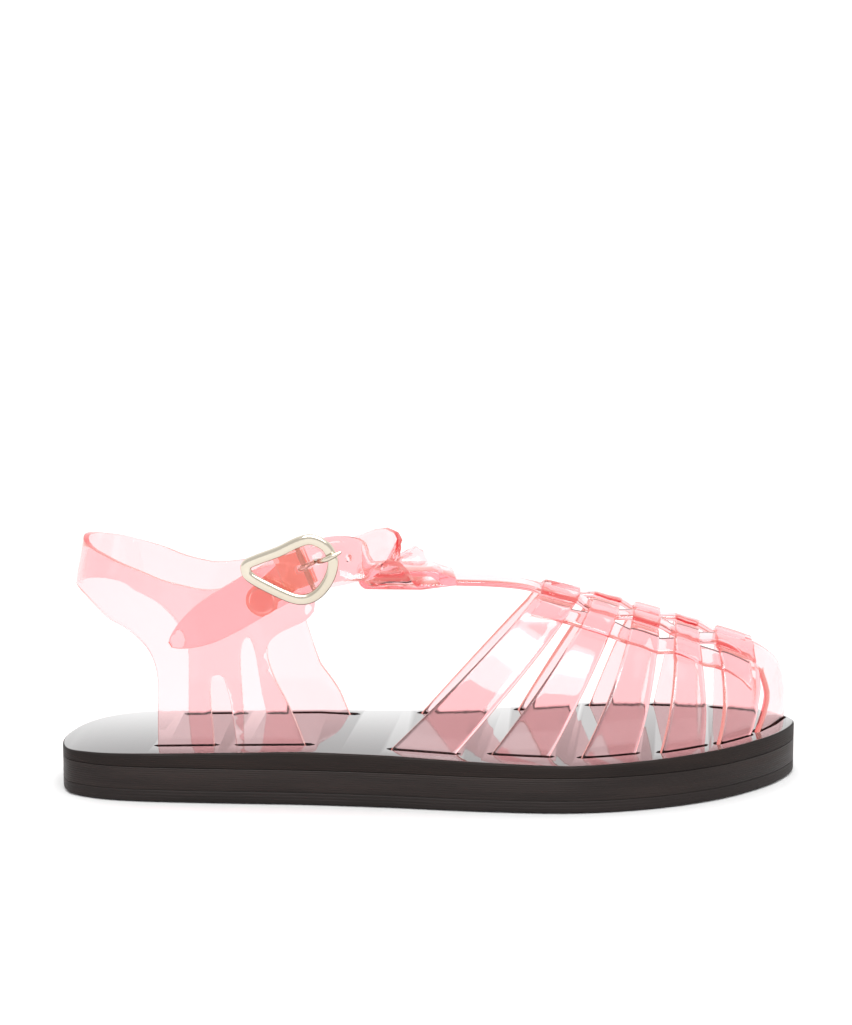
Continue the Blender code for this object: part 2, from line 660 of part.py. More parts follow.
def heel_guide():
    """Line that the heel piece follows: place, point, direction of its width and height on the pattern."""
    back_widths = [(COLLAR_LEAN * math.cos(t) ** 2, 0.0, 1.0) for t in BACK_TURNS]
    rows = [(*strap_point(k), 0.5 * math.pi * row[4]) for k, row in enumerate(ANKLE_STRAP)]
    strap = smooth_line(rows, 6)
    points = strap[:, :3]
    slopes = np.gradient(points, axis=0)
    slopes /= np.linalg.norm(slopes, axis=1, keepdims=True)
    widths = np.stack([-np.sin(strap[:, 3]), 0.0 * strap[:, 3], np.cos(strap[:, 3])], axis=1)
    square = widths - slopes * np.sum(slopes * widths, axis=1, keepdims=True)
    square /= np.linalg.norm(square, axis=1, keepdims=True)
    share = np.clip((np.arange(len(strap)) - 6.0 * STRAP_START) / 6.0, 0.0, 1.0)[:, None]
    widths = widths * (1.0 - share) + square * share
    places = np.concatenate([[0.0], np.cumsum(BACK_STEPS)]) - BACK_HALF
    flat = np.where(np.arange(len(strap)) <= 6 * STRAP_START, 0.0, 1.0)
    moves = np.diff(points, axis=0)
    lengths = np.hypot(moves[:, 0], moves[:, 1]) * (1.0 - flat[1:])
    lengths += np.linalg.norm(moves, axis=1) * flat[1:]
    strap_places = BACK_HALF + np.concatenate([[0.0], np.cumsum(lengths)]) + points[0, 0] - HEEL_CENTRE_X
    front = 2.0 * BACK_HALF
    levels = np.where(flat > 0.0, points[6 * STRAP_START, 2], points[:, 2])
    outer = (HEEL_CENTRE_X + front, TAB_Y, LEAN_LEVEL)
    return (np.concatenate([[-BACK_HALF - front], places, strap_places[1:]]),
            np.vstack([[outer], BACK_LINE, points[1:]]),
            np.vstack([[(0.0, 0.0, 1.0)], back_widths, widths[1:]]),
            np.concatenate([[LEAN_LEVEL], np.full(len(BACK_LINE), LEAN_LEVEL), levels[1:]]))


HEEL_GUIDE = heel_guide()


def heel_middle(place, height):
    """Point of the heel piece's middle surface at a place and height on its pattern."""
    places, points, widths, levels = HEEL_GUIDE
    point = np.array([np.interp(place, places, points[:, k]) for k in range(3)])
    width = np.array([np.interp(place, places, widths[:, k]) for k in range(3)])
    return point + width * (height - np.interp(place, places, levels))


def heel_point(place, height, out):
    """Point of the heel piece, so far outward from its middle surface."""
    step = 0.0008
    run = heel_middle(place + step, height) - heel_middle(place - step, height)
    rise = heel_middle(place, height + step) - heel_middle(place, height - step)
    normal = np.cross(rise, run)
    return heel_middle(place, height) + out * normal / np.linalg.norm(normal)


def strap_station(number):
    """Place on the pattern of a row of the ankle strap's table."""
    x, y = strap_point(number)[:2]
    places, points = HEEL_GUIDE[:2]
    apart = np.hypot(points[:, 0] - x, points[:, 1] - y)
    apart[places < 0.0] = 1.0
    return float(places[int(np.argmin(apart))])


def even_line(points, step):
    """Points on a line, spaced evenly by about the given step, with both of its ends."""
    line = smooth_line(points, 4)
    lengths = np.concatenate([[0.0], np.cumsum(np.linalg.norm(np.diff(line, axis=0), axis=1))])
    count = max(2, round(lengths[-1] / step))
    spots = np.linspace(0.0, lengths[-1], count + 1)
    return [(float(np.interp(t, lengths, line[:, 0])), float(np.interp(t, lengths, line[:, 1])))
            for t in spots]


def heel_edge(table, step):
    """One edge of the heel pattern in metres."""
    return even_line([(place * HEEL_SPAN, height * COLLAR_HEIGHT) for place, height in table], step)


def strap_edge(side, first, tip):
    """Upper (1) or lower (-1) edge of the ankle strap on the pattern, up to the start of its rounded tip."""
    level = strap_point(STRAP_START)[2]
    length = TAIL[0][0] * STRAP_WIDTH
    spots = np.linspace(first, tip - length, round((tip - length - first) / PATTERN_STEP) + 1)
    edge = [(float(t), level + side * 0.5 * STRAP_WIDTH) for t in spots]
    return edge + [(tip - far * STRAP_WIDTH, level + side * 0.5 * width * STRAP_WIDTH)
                   for far, width in TAIL[1:]]


def heel_outline():
    """The heel pattern's whole outline."""
    tip = float(HEEL_GUIDE[0][-1])
    step = PATTERN_STEP
    upper = strap_edge(1.0, strap_station(3), tip)
    lower = strap_edge(-1.0, strap_station(3), tip)
    level = strap_point(STRAP_START)[2]
    near = strap_station(STRAP_START)
    ring = heel_edge(COLLAR_TOP, step)[:-1]
    ring += even_line([(COLLAR_TOP[-1][0] * HEEL_SPAN, COLLAR_TOP[-1][1] * COLLAR_HEIGHT),
                       (near - 0.0100, level + 0.30 * STRAP_WIDTH), (near, level + 0.45 * STRAP_WIDTH),
                       upper[0]], step)
    ring += upper[1:] + lower[::-1]
    ring += even_line([lower[0], (near - 0.0020, level - 0.60 * STRAP_WIDTH),
                       (INNER_FRONT[-1][0] * HEEL_SPAN, INNER_FRONT[-1][1] * COLLAR_HEIGHT)], step)[1:-1]
    ring += heel_edge(INNER_FRONT[::-1], step)
    ring += heel_edge(INNER_SLOT[::-1], 0.7 * step)
    ring += heel_edge([(-place, height) for place, height in COLLAR_LOW[::-1]], step)
    ring += heel_edge(OUTER_SLOT, 0.7 * step)
    ring += heel_edge(OUTER_FRONT, step)
    return ring


def inside_points(ring, holes, step):
    """Points of a staggered grid inside an outline, clear of its edge and of its holes."""
    edge = np.array(ring + [p for hole in holes for p in hole])
    low, high = edge.min(axis=0), edge.max(axis=0)
    found = []
    for row, v in enumerate(np.arange(low[1], high[1], step)):
        for u in np.arange(low[0] + 0.5 * step * (row % 2), high[0], step):
            if within(ring, u, v) and np.hypot(edge[:, 0] - u, edge[:, 1] - v).min() > 0.6 * step:
                found.append((float(u), float(v)))
    return found


def buckle_point(ahead, up, out):
    """Point at a distance ahead along the strap, up along the bar and outward from the tab's middle."""
    return (BUCKLE_X + ahead * math.cos(BUCKLE_SLOPE) - up * math.sin(BUCKLE_SLOPE), TAB_Y - out,
            BUCKLE_Z + ahead * math.sin(BUCKLE_SLOPE) + up * math.cos(BUCKLE_SLOPE))


def pin_point(ahead, out):
    """Point in the pin's own plane, ahead of the bar and outward from the tab's middle."""
    return buckle_point(ahead * math.cos(PIN_SLOPE), ahead * math.sin(PIN_SLOPE), out)


def pin_shank():
    """Path of the pin's shank in its own plane, from its ring through the strap to its tip."""
    rest = FRAME_OUT + 0.5 * FRAME_THICK + FIT_GAP + PIN_RADIUS
    return [(PIN_RING, BAR_OUT), (PIN_CROSSING - 0.0018, BAR_OUT + 0.0002),
            (PIN_CROSSING - 0.0007, BAR_OUT + 0.0010), (PIN_CROSSING, BAR_OUT + 0.0026),
            (PIN_CROSSING + 0.0010, BAR_OUT + 0.0048), (PIN_CROSSING + 0.0026, rest - 0.0008),
            (PIN_CROSSING + 0.0044, rest), (PIN_REACH, rest)]


def pin_hole():
    """The hole in the ankle strap that the pin goes through, on the pattern."""
    shank = np.array(pin_shank())
    places, points, widths, levels = HEEL_GUIDE
    target = np.array(pin_point(PIN_CROSSING, 0.0))
    flat = np.hypot(points[:, 0] - target[0], points[:, 2] - target[2])
    flat[points[:, 1] > TAB_Y] = 1.0
    best = int(np.argmin(flat))
    place, height = float(places[best]), float(levels[best])
    for _ in range(4):
        here = heel_middle(place, height)
        out = TAB_Y - here[1]
        gap = np.array(pin_point(float(np.interp(out, shank[:, 1], shank[:, 0])), out)) - here
        run = heel_middle(place + 0.001, height) - here
        place += float(gap @ run) / float(run @ run) * 0.001
        height += float(gap @ widths[best])
    turns = [2.0 * math.pi * k / 10 for k in range(10)]
    return [(place + HOLE_LENGTH * math.cos(t), height + HOLE_WIDTH * math.sin(t)) for t in turns]


def heel_upper(jelly):
    """Collar, legs, tab and ankle strap as one moulded piece."""
    ring = heel_outline()
    holes = [pin_hole()]
    verts, faces = flat_pattern([ring] + holes, inside_points(ring, holes, PATTERN_STEP))
    item = thick_pattern("heel_upper", verts, faces,
                         lambda v, side: heel_point(v[0], v[1], 0.5 * side * HEEL_WALL))
    item.data.materials.append(jelly)
    return item


def leg_lines():
    """Lines of the four legs' feet in plan, at the bottom of the insole's slits."""
    level = COLLAR_LOW[0][1] * COLLAR_HEIGHT
    spans = ((OUTER_FRONT[0][0], OUTER_SLOT[-1][0]), (OUTER_SLOT[0][0], -COLLAR_LOW[0][0]),
             (-COLLAR_LOW[-1][0], INNER_SLOT[0][0]), (INNER_SLOT[-1][0], INNER_FRONT[0][0]))
    return [np.array([heel_middle(t * HEEL_SPAN, level) for t in np.linspace(a, b, 5)]) for a, b in spans]


def tube(name, path, radius, across_path, closed=False):
    """A round bar along a flat path; across_path is the direction square to the path's plane."""
    path = np.array(path)
    count = len(path)
    across_path = np.array(across_path) / np.linalg.norm(across_path)
    mesh = bmesh.new()
    rings = []
    for k in range(count):
        before = path[k] - path[k - 1] if closed or k > 0 else path[1] - path[0]
        after = path[(k + 1) % count] - path[k] if closed or k < count - 1 else path[-1] - path[-2]
        before = before / np.linalg.norm(before)
        after = after / np.linalg.norm(after)
        run = (before + after) / np.linalg.norm(before + after)
        side = np.cross(across_path, run) / max(0.5, float(run @ after))
        turns = [2.0 * math.pi * (m + 0.5) / 8 for m in range(8)]
        rings.append([mesh.verts.new(path[k] + radius * (side * math.cos(t) + across_path * math.sin(t)))
                      for t in turns])
    for a, b in zip(rings, rings[1:] + (rings[:1] if closed else [])):
        for m in range(8):
            mesh.faces.new((a[m], a[(m + 1) % 8], b[(m + 1) % 8], b[m]))
    if not closed:
        mesh.faces.new(rings[0])
        mesh.faces.new(rings[-1])
    return finish_mesh(name, mesh)


def frame_spots(steps):
    """Middle line of the buckle's frame and its outward directions, along the strap and along the bar."""
    line = smooth_line([(a * FRAME_LENGTH, b * FRAME_LENGTH) for a, b in FRAME_LINE], steps, closed=True)
    run = np.roll(line, -1, axis=0) - np.roll(line, 1, axis=0)
    run /= np.linalg.norm(run, axis=1, keepdims=True)
    return list(zip(line, np.stack([run[:, 1], -run[:, 0]], axis=1)))


def buckle_frame(metal):
    """The rounded frame with its bar, which stands in from the frame on two posts."""
    mesh = bmesh.new()
    section = [(math.cos(t) * 1.04, math.sin(t) * 1.04) for t in
               (math.pi * (k + 0.5) / 4 for k in range(8))]
    rings = []
    spots = frame_spots(3)
    for spot, way in spots:
        ring = []
        for wide, thick in section:
            ahead, up = spot + way * 0.5 * FRAME_BAND * wide
            ring.append(mesh.verts.new(buckle_point(ahead, up, FRAME_OUT + 0.5 * FRAME_THICK * thick)))
        rings.append(ring)
    for a, b in zip(rings, rings[1:] + rings[:1]):
        for m in range(8):
            mesh.faces.new((a[m], a[(m + 1) % 8], b[(m + 1) % 8], b[m]))
    frame = finish_mesh("buckle_frame", mesh)
    near_bar = sorted((spot for spot, _ in spots), key=lambda spot: abs(spot[0]))[:4]
    top = max(spot[1] for spot in near_bar)
    low = min(spot[1] for spot in near_bar)
    path = [buckle_point(0.0, v, d) for v, d in ((top, FRAME_OUT), (top, BAR_OUT), (low, BAR_OUT),
                                                 (low, FRAME_OUT))]
    ahead = np.array(buckle_point(1.0, 0.0, 0.0)) - np.array(buckle_point(0.0, 0.0, 0.0))
    combine(frame, [tube("bar", path, BAR_RADIUS, ahead)], "UNION")
    frame.data.materials.append(metal)
    return frame


def buckle_pin(metal):
    """The pin: a ring around the bar and a shank that goes through the strap and rests on the frame."""
    turns = [2.0 * math.pi * k / 14 for k in range(14)]
    side = np.array(buckle_point(-math.sin(PIN_SLOPE), math.cos(PIN_SLOPE), 0.0))
    side -= np.array(buckle_point(0.0, 0.0, 0.0))
    circle = [pin_point(PIN_RING * math.cos(t), BAR_OUT + PIN_RING * math.sin(t)) for t in turns]
    ring = tube("buckle_pin", circle, PIN_RADIUS, side, closed=True)
    combine(ring, [tube("shank", [pin_point(*p) for p in pin_shank()], PIN_RADIUS, side)], "UNION")
    ring.data.materials.append(metal)
    return ring


def thick_path(path, wall):
    """Outline of a flat path given an even wall."""
    path = np.array(path)
    run = np.gradient(path, axis=0)
    run /= np.linalg.norm(run, axis=1, keepdims=True)
    side = np.stack([-run[:, 1], run[:, 0]], axis=1) * 0.5 * wall
    return [tuple(p) for p in path + side] + [tuple(p) for p in (path - side)[::-1]]


def buckle_carrier(jelly):
    """The folded strip that holds the bar on the tab, with its round stud."""
    inner = 0.5 * HEEL_WALL + FIT_GAP
    layer = inner + 0.5 * CARRIER_WALL + 0.0001
    turns = [math.pi * (k / 10 - 0.5) for k in range(11)]
    path = [(-0.0072, layer), (-0.0030, layer), (-0.0012, layer)]
    fold = 0.5 * (layer + BAR_OUT + CARRIER_FOLD)
    reach = BAR_OUT + CARRIER_FOLD - fold
    path += [(reach * math.cos(t), fold + reach * math.sin(t)) for t in turns]
    path += [(-0.0026, BAR_OUT + 0.78 * CARRIER_FOLD), (-0.0046, layer + 0.0022), (-0.0064, layer + 0.0013),
             (-0.0088, layer + 0.0012)]
    verts, faces = flat_pattern([thick_path(path, CARRIER_WALL)])
    item = thick_pattern("buckle_carrier", verts, faces, lambda v, side: buckle_point(
        v[0], 0.5 * side * CARRIER_WIDTH, v[1]))
    turns = [math.radians(a) for a in range(120, 331, 14)]
    around = [(-STUD_BACK + 1.25 * STUD_RADIUS * math.cos(t), -STUD_DROP + 1.25 * STUD_RADIUS * math.sin(t))
              for t in turns]
    half = 0.49 * CARRIER_WIDTH
    verts, faces = flat_pattern([[(-0.0031, -half), (-0.0031, half)] + around])
    strip = thick_pattern("strip", verts, faces, lambda v, side: buckle_point(
        v[0], v[1], inner + 0.5 * (1.0 + side) * CARRIER_WALL))
    mesh = bmesh.new()
    profile = ((0.0, STUD_TOP), (0.60, STUD_TOP - 0.0002), (0.90, STUD_TOP - 0.0008),
               (1.0, STUD_TOP - 0.0016), (1.0, inner + 0.5 * CARRIER_WALL), (0.0, inner + 0.5 * CARRIER_WALL))
    rings = []
    for share, out in profile:
        count = 16 if share else 1
        rings.append([mesh.verts.new(buckle_point(
            -STUD_BACK + share * STUD_RADIUS * math.cos(2.0 * math.pi * k / count),
            -STUD_DROP + share * STUD_RADIUS * math.sin(2.0 * math.pi * k / count), out))
            for k in range(count)])
    for a, b in zip(rings[:-1], rings[1:]):
        for k in range(16):
            m = (k + 1) % 16
            corners = (a[k % len(a)], a[m % len(a)], b[m % len(b)], b[k % len(b)])
            mesh.faces.new(list(dict.fromkeys(corners)))
    stud = finish_mesh("stud", mesh)
    combine(item, [strip, stud], "UNION")
    slot = [(-0.0029, -0.5 * CARRIER_SLOT), (-0.0029, 0.5 * CARRIER_SLOT), (0.0032, 0.5 * CARRIER_SLOT),
            (0.0032, -0.5 * CARRIER_SLOT)]
    verts, faces = flat_pattern([slot])
    cutter = thick_pattern("pin_slot", verts, faces, lambda v, side: buckle_point(
        v[0], v[1], BAR_OUT + side * 2.0 * CARRIER_FOLD))
    combine(item, [cutter], "DIFFERENCE")
    item.data.materials.append(jelly)
    return item


def sole(materials):
    """Outsole, midsole and the insole with its slits."""
    outsole = sole_layer("outsole", lambda x: 0.0, lambda x: OUTSOLE_THICK)
    outsole.data.materials.append(materials["outsole"])
    midsole = sole_layer("midsole", lambda x: FLOOR_TO_MIDSOLE, lambda x: FLOOR_TO_MIDSOLE + MIDSOLE_THICK)
    midsole.data.materials.append(materials["midsole"])
    insole = sole_layer("insole", lambda x: FLOOR_TO_INSOLE, footbed_z)
    insole.data.materials.append(materials["insole"])
    cutters = []
    for k, row in enumerate(CROSS_STRAPS):
        for side, line in zip(("outer", "inner"), feet_of(row)):
            cutters.append(slit_cutter(f"slit_{side}_{k + 1}", line, WALL))
    cutters.append(slit_cutter("slit_toe", np.array(toe_rows()[-1]), WALL))
    for k, line in enumerate(leg_lines()):
        cutters.append(slit_cutter(f"slit_leg_{k + 1}", line, HEEL_WALL))
    combine(insole, cutters, "DIFFERENCE")
    return outsole, midsole, insole


def clear_scene():
    """Takes every object out of the scene."""
    for item in list(bpy.data.objects):
        bpy.data.objects.remove(item, do_unlink=True)


def main():
    """Builds the sandal."""
    clear_scene()
    jelly = material("jelly_pink", (0.95, 0.55, 0.56), 0.12)
    browns = {
        "outsole": material("outsole_brown", (0.030, 0.020, 0.018), 0.45),
        "midsole": material("midsole_brown", (0.036, 0.025, 0.022), 0.40),
        "insole": material("insole_satin", (0.050, 0.038, 0.036), 0.22),
    }
    metal = material("pale_gold", (0.86, 0.74, 0.58), 0.12, 1.0)
    sole(browns)
    forefoot_upper(jelly)
    heel_upper(jelly)
    buckle_frame(metal)
    buckle_pin(metal)
    buckle_carrier(jelly)


main()
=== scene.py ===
"""Jelly sandal, dressed: a clear pink moulded upper on a dark stacked sole, with a pale gold buckle."""
import logging
import math
from dataclasses import dataclass, field
from enum import Enum
from typing import Callable, Sequence

import bmesh
import bpy
import numpy as np
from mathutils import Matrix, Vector, geometry


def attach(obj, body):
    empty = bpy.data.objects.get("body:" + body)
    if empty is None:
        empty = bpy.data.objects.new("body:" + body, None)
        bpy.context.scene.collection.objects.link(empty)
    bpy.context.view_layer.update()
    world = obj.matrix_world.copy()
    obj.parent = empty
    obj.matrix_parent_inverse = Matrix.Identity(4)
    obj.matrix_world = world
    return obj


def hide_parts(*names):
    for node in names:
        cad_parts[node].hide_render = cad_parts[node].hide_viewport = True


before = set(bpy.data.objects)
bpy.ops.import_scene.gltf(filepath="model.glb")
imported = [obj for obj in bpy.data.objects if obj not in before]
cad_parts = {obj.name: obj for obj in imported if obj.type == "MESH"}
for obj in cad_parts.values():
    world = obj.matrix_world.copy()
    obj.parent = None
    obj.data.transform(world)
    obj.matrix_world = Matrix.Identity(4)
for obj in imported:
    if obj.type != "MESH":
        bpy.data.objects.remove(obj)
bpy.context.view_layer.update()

LOG = logging.getLogger("jelly_sandal")
Point = tuple[float, float, float]
Pair = tuple[float, float]


class Slot(Enum):
    """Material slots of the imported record."""

    JELLY = "jelly"
    METAL = "metal"
    INSOLE = "insole"
    MIDSOLE = "midsole"
    OUTSOLE = "outsole"


class Side(Enum):
    """The two sides of the foot; the value is the sign of Y."""

    OUTER = -1.0
    INNER = 1.0


class Anchor(Enum):
    """Pieces that a row of the ankle strap's table follows."""

    HEEL = "heel"
    LOOP = "loop"
    BUCKLE = "buckle"


class Operation(Enum):
    """Ways to combine shapes; the value is the Boolean's own name."""

    ADD = "UNION"
    CUT = "DIFFERENCE"


def smooth_line(points: Sequence, steps: int, closed: bool = False) -> np.ndarray:
    """Points on a smooth curve through the given points.

    Args:
        points: The points that the curve passes through.
        steps: Steps to each span.
        closed: Whether the curve returns to its start.

    Returns:
        One row for each point of the curve.
    """
    rows = [np.asarray(p, float) for p in points]
    count = len(rows)
    spans = count if closed else count - 1
    line = []
    for i in range(spans):
        if closed:
            a, b, c, d = (rows[(i + k) % count] for k in (-1, 0, 1, 2))
        else:
            b, c = rows[i], rows[i + 1]
            a = rows[i - 1] if i > 0 else 2.0 * b - c
            d = rows[i + 2] if i + 2 < count else 2.0 * c - b
        for k in range(steps):
            t = k / steps
            line.append(0.5 * (2.0 * b + (c - a) * t + (2.0 * a - 5.0 * b + 4.0 * c - d) * t ** 2
                               + (3.0 * (b - c) + d - a) * t ** 3))
    if not closed:
        line.append(rows[-1])
    return np.array(line)


def even_line(points: Sequence, step: float) -> list[Pair]:
    """Points on a flat smooth line, spaced evenly by about a step, with both of its ends.

    Args:
        points: Flat points that the line passes through.
        step: Spacing wanted, in metres.

    Returns:
        The spaced points.
    """
    line = smooth_line(points, 8)
    lengths = np.concatenate([[0.0], np.cumsum(np.linalg.norm(np.diff(line, axis=0), axis=1))])
    count = max(2, round(lengths[-1] / step))
    spots = np.linspace(0.0, lengths[-1], count + 1)
    return [(float(np.interp(t, lengths, line[:, 0])), float(np.interp(t, lengths, line[:, 1])))
            for t in spots]


def grid_normals(grid: np.ndarray, outward: float) -> np.ndarray:
    """Unit normals of a grid of points.

    Args:
        grid: Rows and columns of points.
        outward: Sign that turns the normals to the outer side.

    Returns:
        One unit normal for each point.
    """
    normal = np.cross(np.gradient(grid, axis=0), np.gradient(grid, axis=1))
    normal /= np.linalg.norm(normal, axis=2, keepdims=True)
    return normal * outward


def mesh_object(name: str, points: Sequence, faces: Sequence) -> bpy.types.Object:
    """A new object from points and faces, with its faces turned outward.

    Args:
        name: The object's name.
        points: Vertex positions.
        faces: Vertex numbers of each face.

    Returns:
        The object, linked to the scene.
    """
    data = bpy.data.meshes.new(name)
    data.from_pydata([tuple(p) for p in points], [], [tuple(f) for f in faces])
    shape = bmesh.new()
    shape.from_mesh(data)
    bmesh.ops.recalc_face_normals(shape, faces=shape.faces)
    shape.to_mesh(data)
    shape.free()
    item = bpy.data.objects.new(name, data)
    bpy.context.scene.collection.objects.link(item)
    return item


def settle(item: bpy.types.Object, sharp: float = 40.0) -> bpy.types.Object:
    """Applies an object's modifiers and shades it smooth up to an angle.

    Args:
        item: The object.
        sharp: Angle in degrees from which an edge stays sharp.

    Returns:
        The same object.
    """
    graph = bpy.context.evaluated_depsgraph_get()
    baked = bpy.data.meshes.new_from_object(item.evaluated_get(graph))
    item.modifiers.clear()
    item.data = baked
    item.data.shade_smooth()
    item.data.set_sharp_from_angle(angle=math.radians(sharp))
    return item


def combine(item: bpy.types.Object, others: Sequence[bpy.types.Object],
            operation: Operation = Operation.ADD) -> bpy.types.Object:
    """Joins to or cuts from an object with exact Booleans, then removes the other shapes.

    Args:
        item: The object that is kept.
        others: The shapes to add or to cut.
        operation: Whether they are added or cut.

    Returns:
        The kept object.
    """
    for other in others:
        step = item.modifiers.new(other.name, "BOOLEAN")
        step.operation = operation.value
        step.solver = "EXACT"
        step.object = other
    graph = bpy.context.evaluated_depsgraph_get()
    baked = bpy.data.meshes.new_from_object(item.evaluated_get(graph))
    item.modifiers.clear()
    item.data = baked
    for other in others:
        bpy.data.objects.remove(other, do_unlink=True)
    return item


def round_edges(item: bpy.types.Object, width: float, segments: int, angle: float) -> bpy.types.Object:
    """Adds a bevel to an object's sharper edges.

    Args:
        item: The object.
        width: Width of the bevel in metres.
        segments: Steps of the bevel.
        angle: Angle in degrees from which an edge is rounded.

    Returns:
        The same object.
    """
    bevel = item.modifiers.new("rounding", "BEVEL")
    bevel.width = width
    bevel.segments = segments
    bevel.limit_method = "ANGLE"
    bevel.angle_limit = math.radians(angle)
    bevel.use_clamp_overlap = True
    return item


# Places across a strap: its two edges and its middle line.
PARTS = (-1.0, 0.0, 1.0)
# The same with more points, closer together where the edges are rounded.
EDGE_SHARES = (-1.0, -0.975, -0.925, -0.84, -0.66, -0.34, 0.0, 0.34, 0.66, 0.84, 0.925, 0.975, 1.0)
# Share of a strap's thickness that is left at its very edge.
EDGE_FACE = 0.22
# The grid inside a flat pattern: distance of its rows and clearance to the outline, in steps.
GRID_ROW = 0.87
GRID_CLEAR = 0.62
# Distance in metres under which two points of a pattern are one.
SAME_POINT = 1e-8


def full_turn(count: int) -> np.ndarray:
    """Angles of so many even steps around a full turn."""
    return np.linspace(0.0, 2.0 * math.pi, count, endpoint=False)


def blunt(value: float, power: float) -> float:
    """A cosine or sine drawn outward, which turns a circle towards a rounded square."""
    return math.copysign(abs(value) ** power, value)


def ring_faces(first: int, second: int, count: int) -> list[tuple[int, ...]]:
    """Faces between two rings of points.

    Args:
        first: Number of the first ring's first point.
        second: Number of the second ring's first point.
        count: Points in each ring.

    Returns:
        The vertex numbers of each face.
    """
    return [(first + m, first + (m + 1) % count, second + (m + 1) % count, second + m)
            for m in range(count)]


def widened(grid: np.ndarray, shares: Sequence[float] = EDGE_SHARES) -> np.ndarray:
    """A grid of three columns drawn again with more columns, closer together towards its edges.

    Args:
        grid: Rows of left, middle and right points.
        shares: Places across, from -1 at the left to 1 at the right.

    Returns:
        The finer grid.
    """
    left, middle, right = grid[:, 0], grid[:, 1], grid[:, 2]
    half = 0.5 * (right - left)
    bow = 0.5 * (right + left) - middle
    return np.stack([middle + u * half + u * u * bow for u in shares], axis=1)


def ribbon(name: str, grid: np.ndarray, lifts: np.ndarray, wall: float, rounding: float,
           outward: float) -> bpy.types.Object:
    """A closed strap of even thickness with rounded long edges.

    Args:
        name: The object's name.
        grid: Rows along the strap and columns across it.
        lifts: How far each point is moved along its normal.
        wall: Thickness of the strap.
        rounding: Radius of its long edges.
        outward: Sign that turns the normals to the outer side.

    Returns:
        The strap.
    """
    normal = grid_normals(grid, outward)
    steps = np.linalg.norm(np.diff(grid, axis=1), axis=2)
    reach = np.concatenate([np.zeros((len(grid), 1)), np.cumsum(steps, axis=1)], axis=1)
    inward = np.minimum(reach, reach[:, -1:] - reach)
    fill = np.sqrt(np.maximum(0.0, 1.0 - (1.0 - np.minimum(inward / rounding, 1.0)) ** 2))
    half = (0.5 * wall * np.maximum(fill, EDGE_FACE))[..., None]
    middle = grid + normal * lifts[..., None]
    rows, cols = grid.shape[:2]
    points = np.concatenate([(middle + side * normal * half).reshape(-1, 3) for side in (1.0, -1.0)])
    under = rows * cols
    faces = []
    for i in range(rows - 1):
        for j in range(cols - 1):
            a, b = i * cols + j, (i + 1) * cols + j
            faces.append((a, b, b + 1, a + 1))
            faces.append((under + a, under + a + 1, under + b + 1, under + b))
    rim = [(i, 0) for i in range(rows)] + [(rows - 1, j) for j in range(1, cols)]
    rim += [(i, cols - 1) for i in range(rows - 2, -1, -1)] + [(0, j) for j in range(cols - 2, 0, -1)]
    for (i, j), (k, m) in zip(rim, rim[1:] + rim[:1]):
        a, b = i * cols + j, k * cols + m
        faces.append((a, under + a, under + b, b))
    return mesh_object(name, points, faces)


def within(ring: np.ndarray, u: float, v: float) -> bool:
    """Whether a flat point is inside a closed outline.

    Args:
        ring: The outline's points.
        u: First coordinate.
        v: Second coordinate.

    Returns:
        True inside.
    """
    after = np.roll(ring, -1, axis=0)
    crosses = (ring[:, 1] > v) != (after[:, 1] > v)
    start, end = ring[crosses], after[crosses]
    at = start[:, 0] + (v - start[:, 1]) / (end[:, 1] - start[:, 1]) * (end[:, 0] - start[:, 0])
    return int(np.sum(u < at)) % 2 == 1


def flat_pattern(rings: Sequence[Sequence[Pair]], step: float = 0.0) -> tuple[np.ndarray, list]:
    """Triangles of a flat shape with holes, with a staggered grid of points inside it.

    Args:
        rings: The outline, then the holes.
        step: Spacing of the grid inside, or 0 for none.

    Returns:
        The flat points and the triangles.
    """
    coords = [Vector(p) for ring in rings for p in ring]
    edges = []
    first = 0
    for ring in rings:
        edges += [(first + k, first + (k + 1) % len(ring)) for k in range(len(ring))]
        first += len(ring)
    shapes = [np.array(ring) for ring in rings]
    rim = np.vstack(shapes)
    if step:
        low, high = rim.min(axis=0), rim.max(axis=0)
        for row, v in enumerate(np.arange(low[1], high[1], GRID_ROW * step)):
            for u in np.arange(low[0] + 0.5 * step * (row % 2), high[0], step):
                clear = np.hypot(rim[:, 0] - u, rim[:, 1] - v).min()
                if clear > GRID_CLEAR * step and within(shapes[0], u, v):
                    coords.append(Vector((u, v)))
    verts, _, faces, *_ = geometry.delaunay_2d_cdt(coords, edges, [], 1, SAME_POINT)
    kept = []
    for face in faces:
        u, v = np.mean([verts[k] for k in face], axis=0)
        if within(shapes[0], u, v) and not any(within(hole, u, v) for hole in shapes[1:]):
            kept.append(list(face))
    return np.array([tuple(v) for v in verts]), kept


def thick_pattern(name: str, faces: list, lower: np.ndarray, upper: np.ndarray) -> bpy.types.Object:
    """A closed solid between two copies of a flat pattern that were put in place.

    Args:
        name: The object's name.
        faces: The pattern's triangles.
        lower: Its points on one side.
        upper: Its points on the other side.

    Returns:
        The solid.
    """
    count = len(lower)
    all_faces = [tuple(f) for f in faces] + [tuple(count + k for k in reversed(f)) for f in faces]
    used = {(a, b) for f in faces for a, b in zip(f, f[1:] + f[:1])}
    all_faces += [(a, b, count + b, count + a) for a, b in used if (b, a) not in used]
    return mesh_object(name, np.vstack([lower, upper]), all_faces)


def socket(tree: bpy.types.NodeTree, name: str, direction: str, kind: str,
           value: float | None = None) -> None:
    """Adds a named socket to a node group.

    Args:
        tree: The group.
        name: The socket's name.
        direction: "INPUT" or "OUTPUT".
        kind: Socket type, such as "NodeSocketFloat".
        value: Default of an input, if it has one.
    """
    made = tree.interface.new_socket(name=name, in_out=direction, socket_type=kind)
    if value is not None:
        made.default_value = value


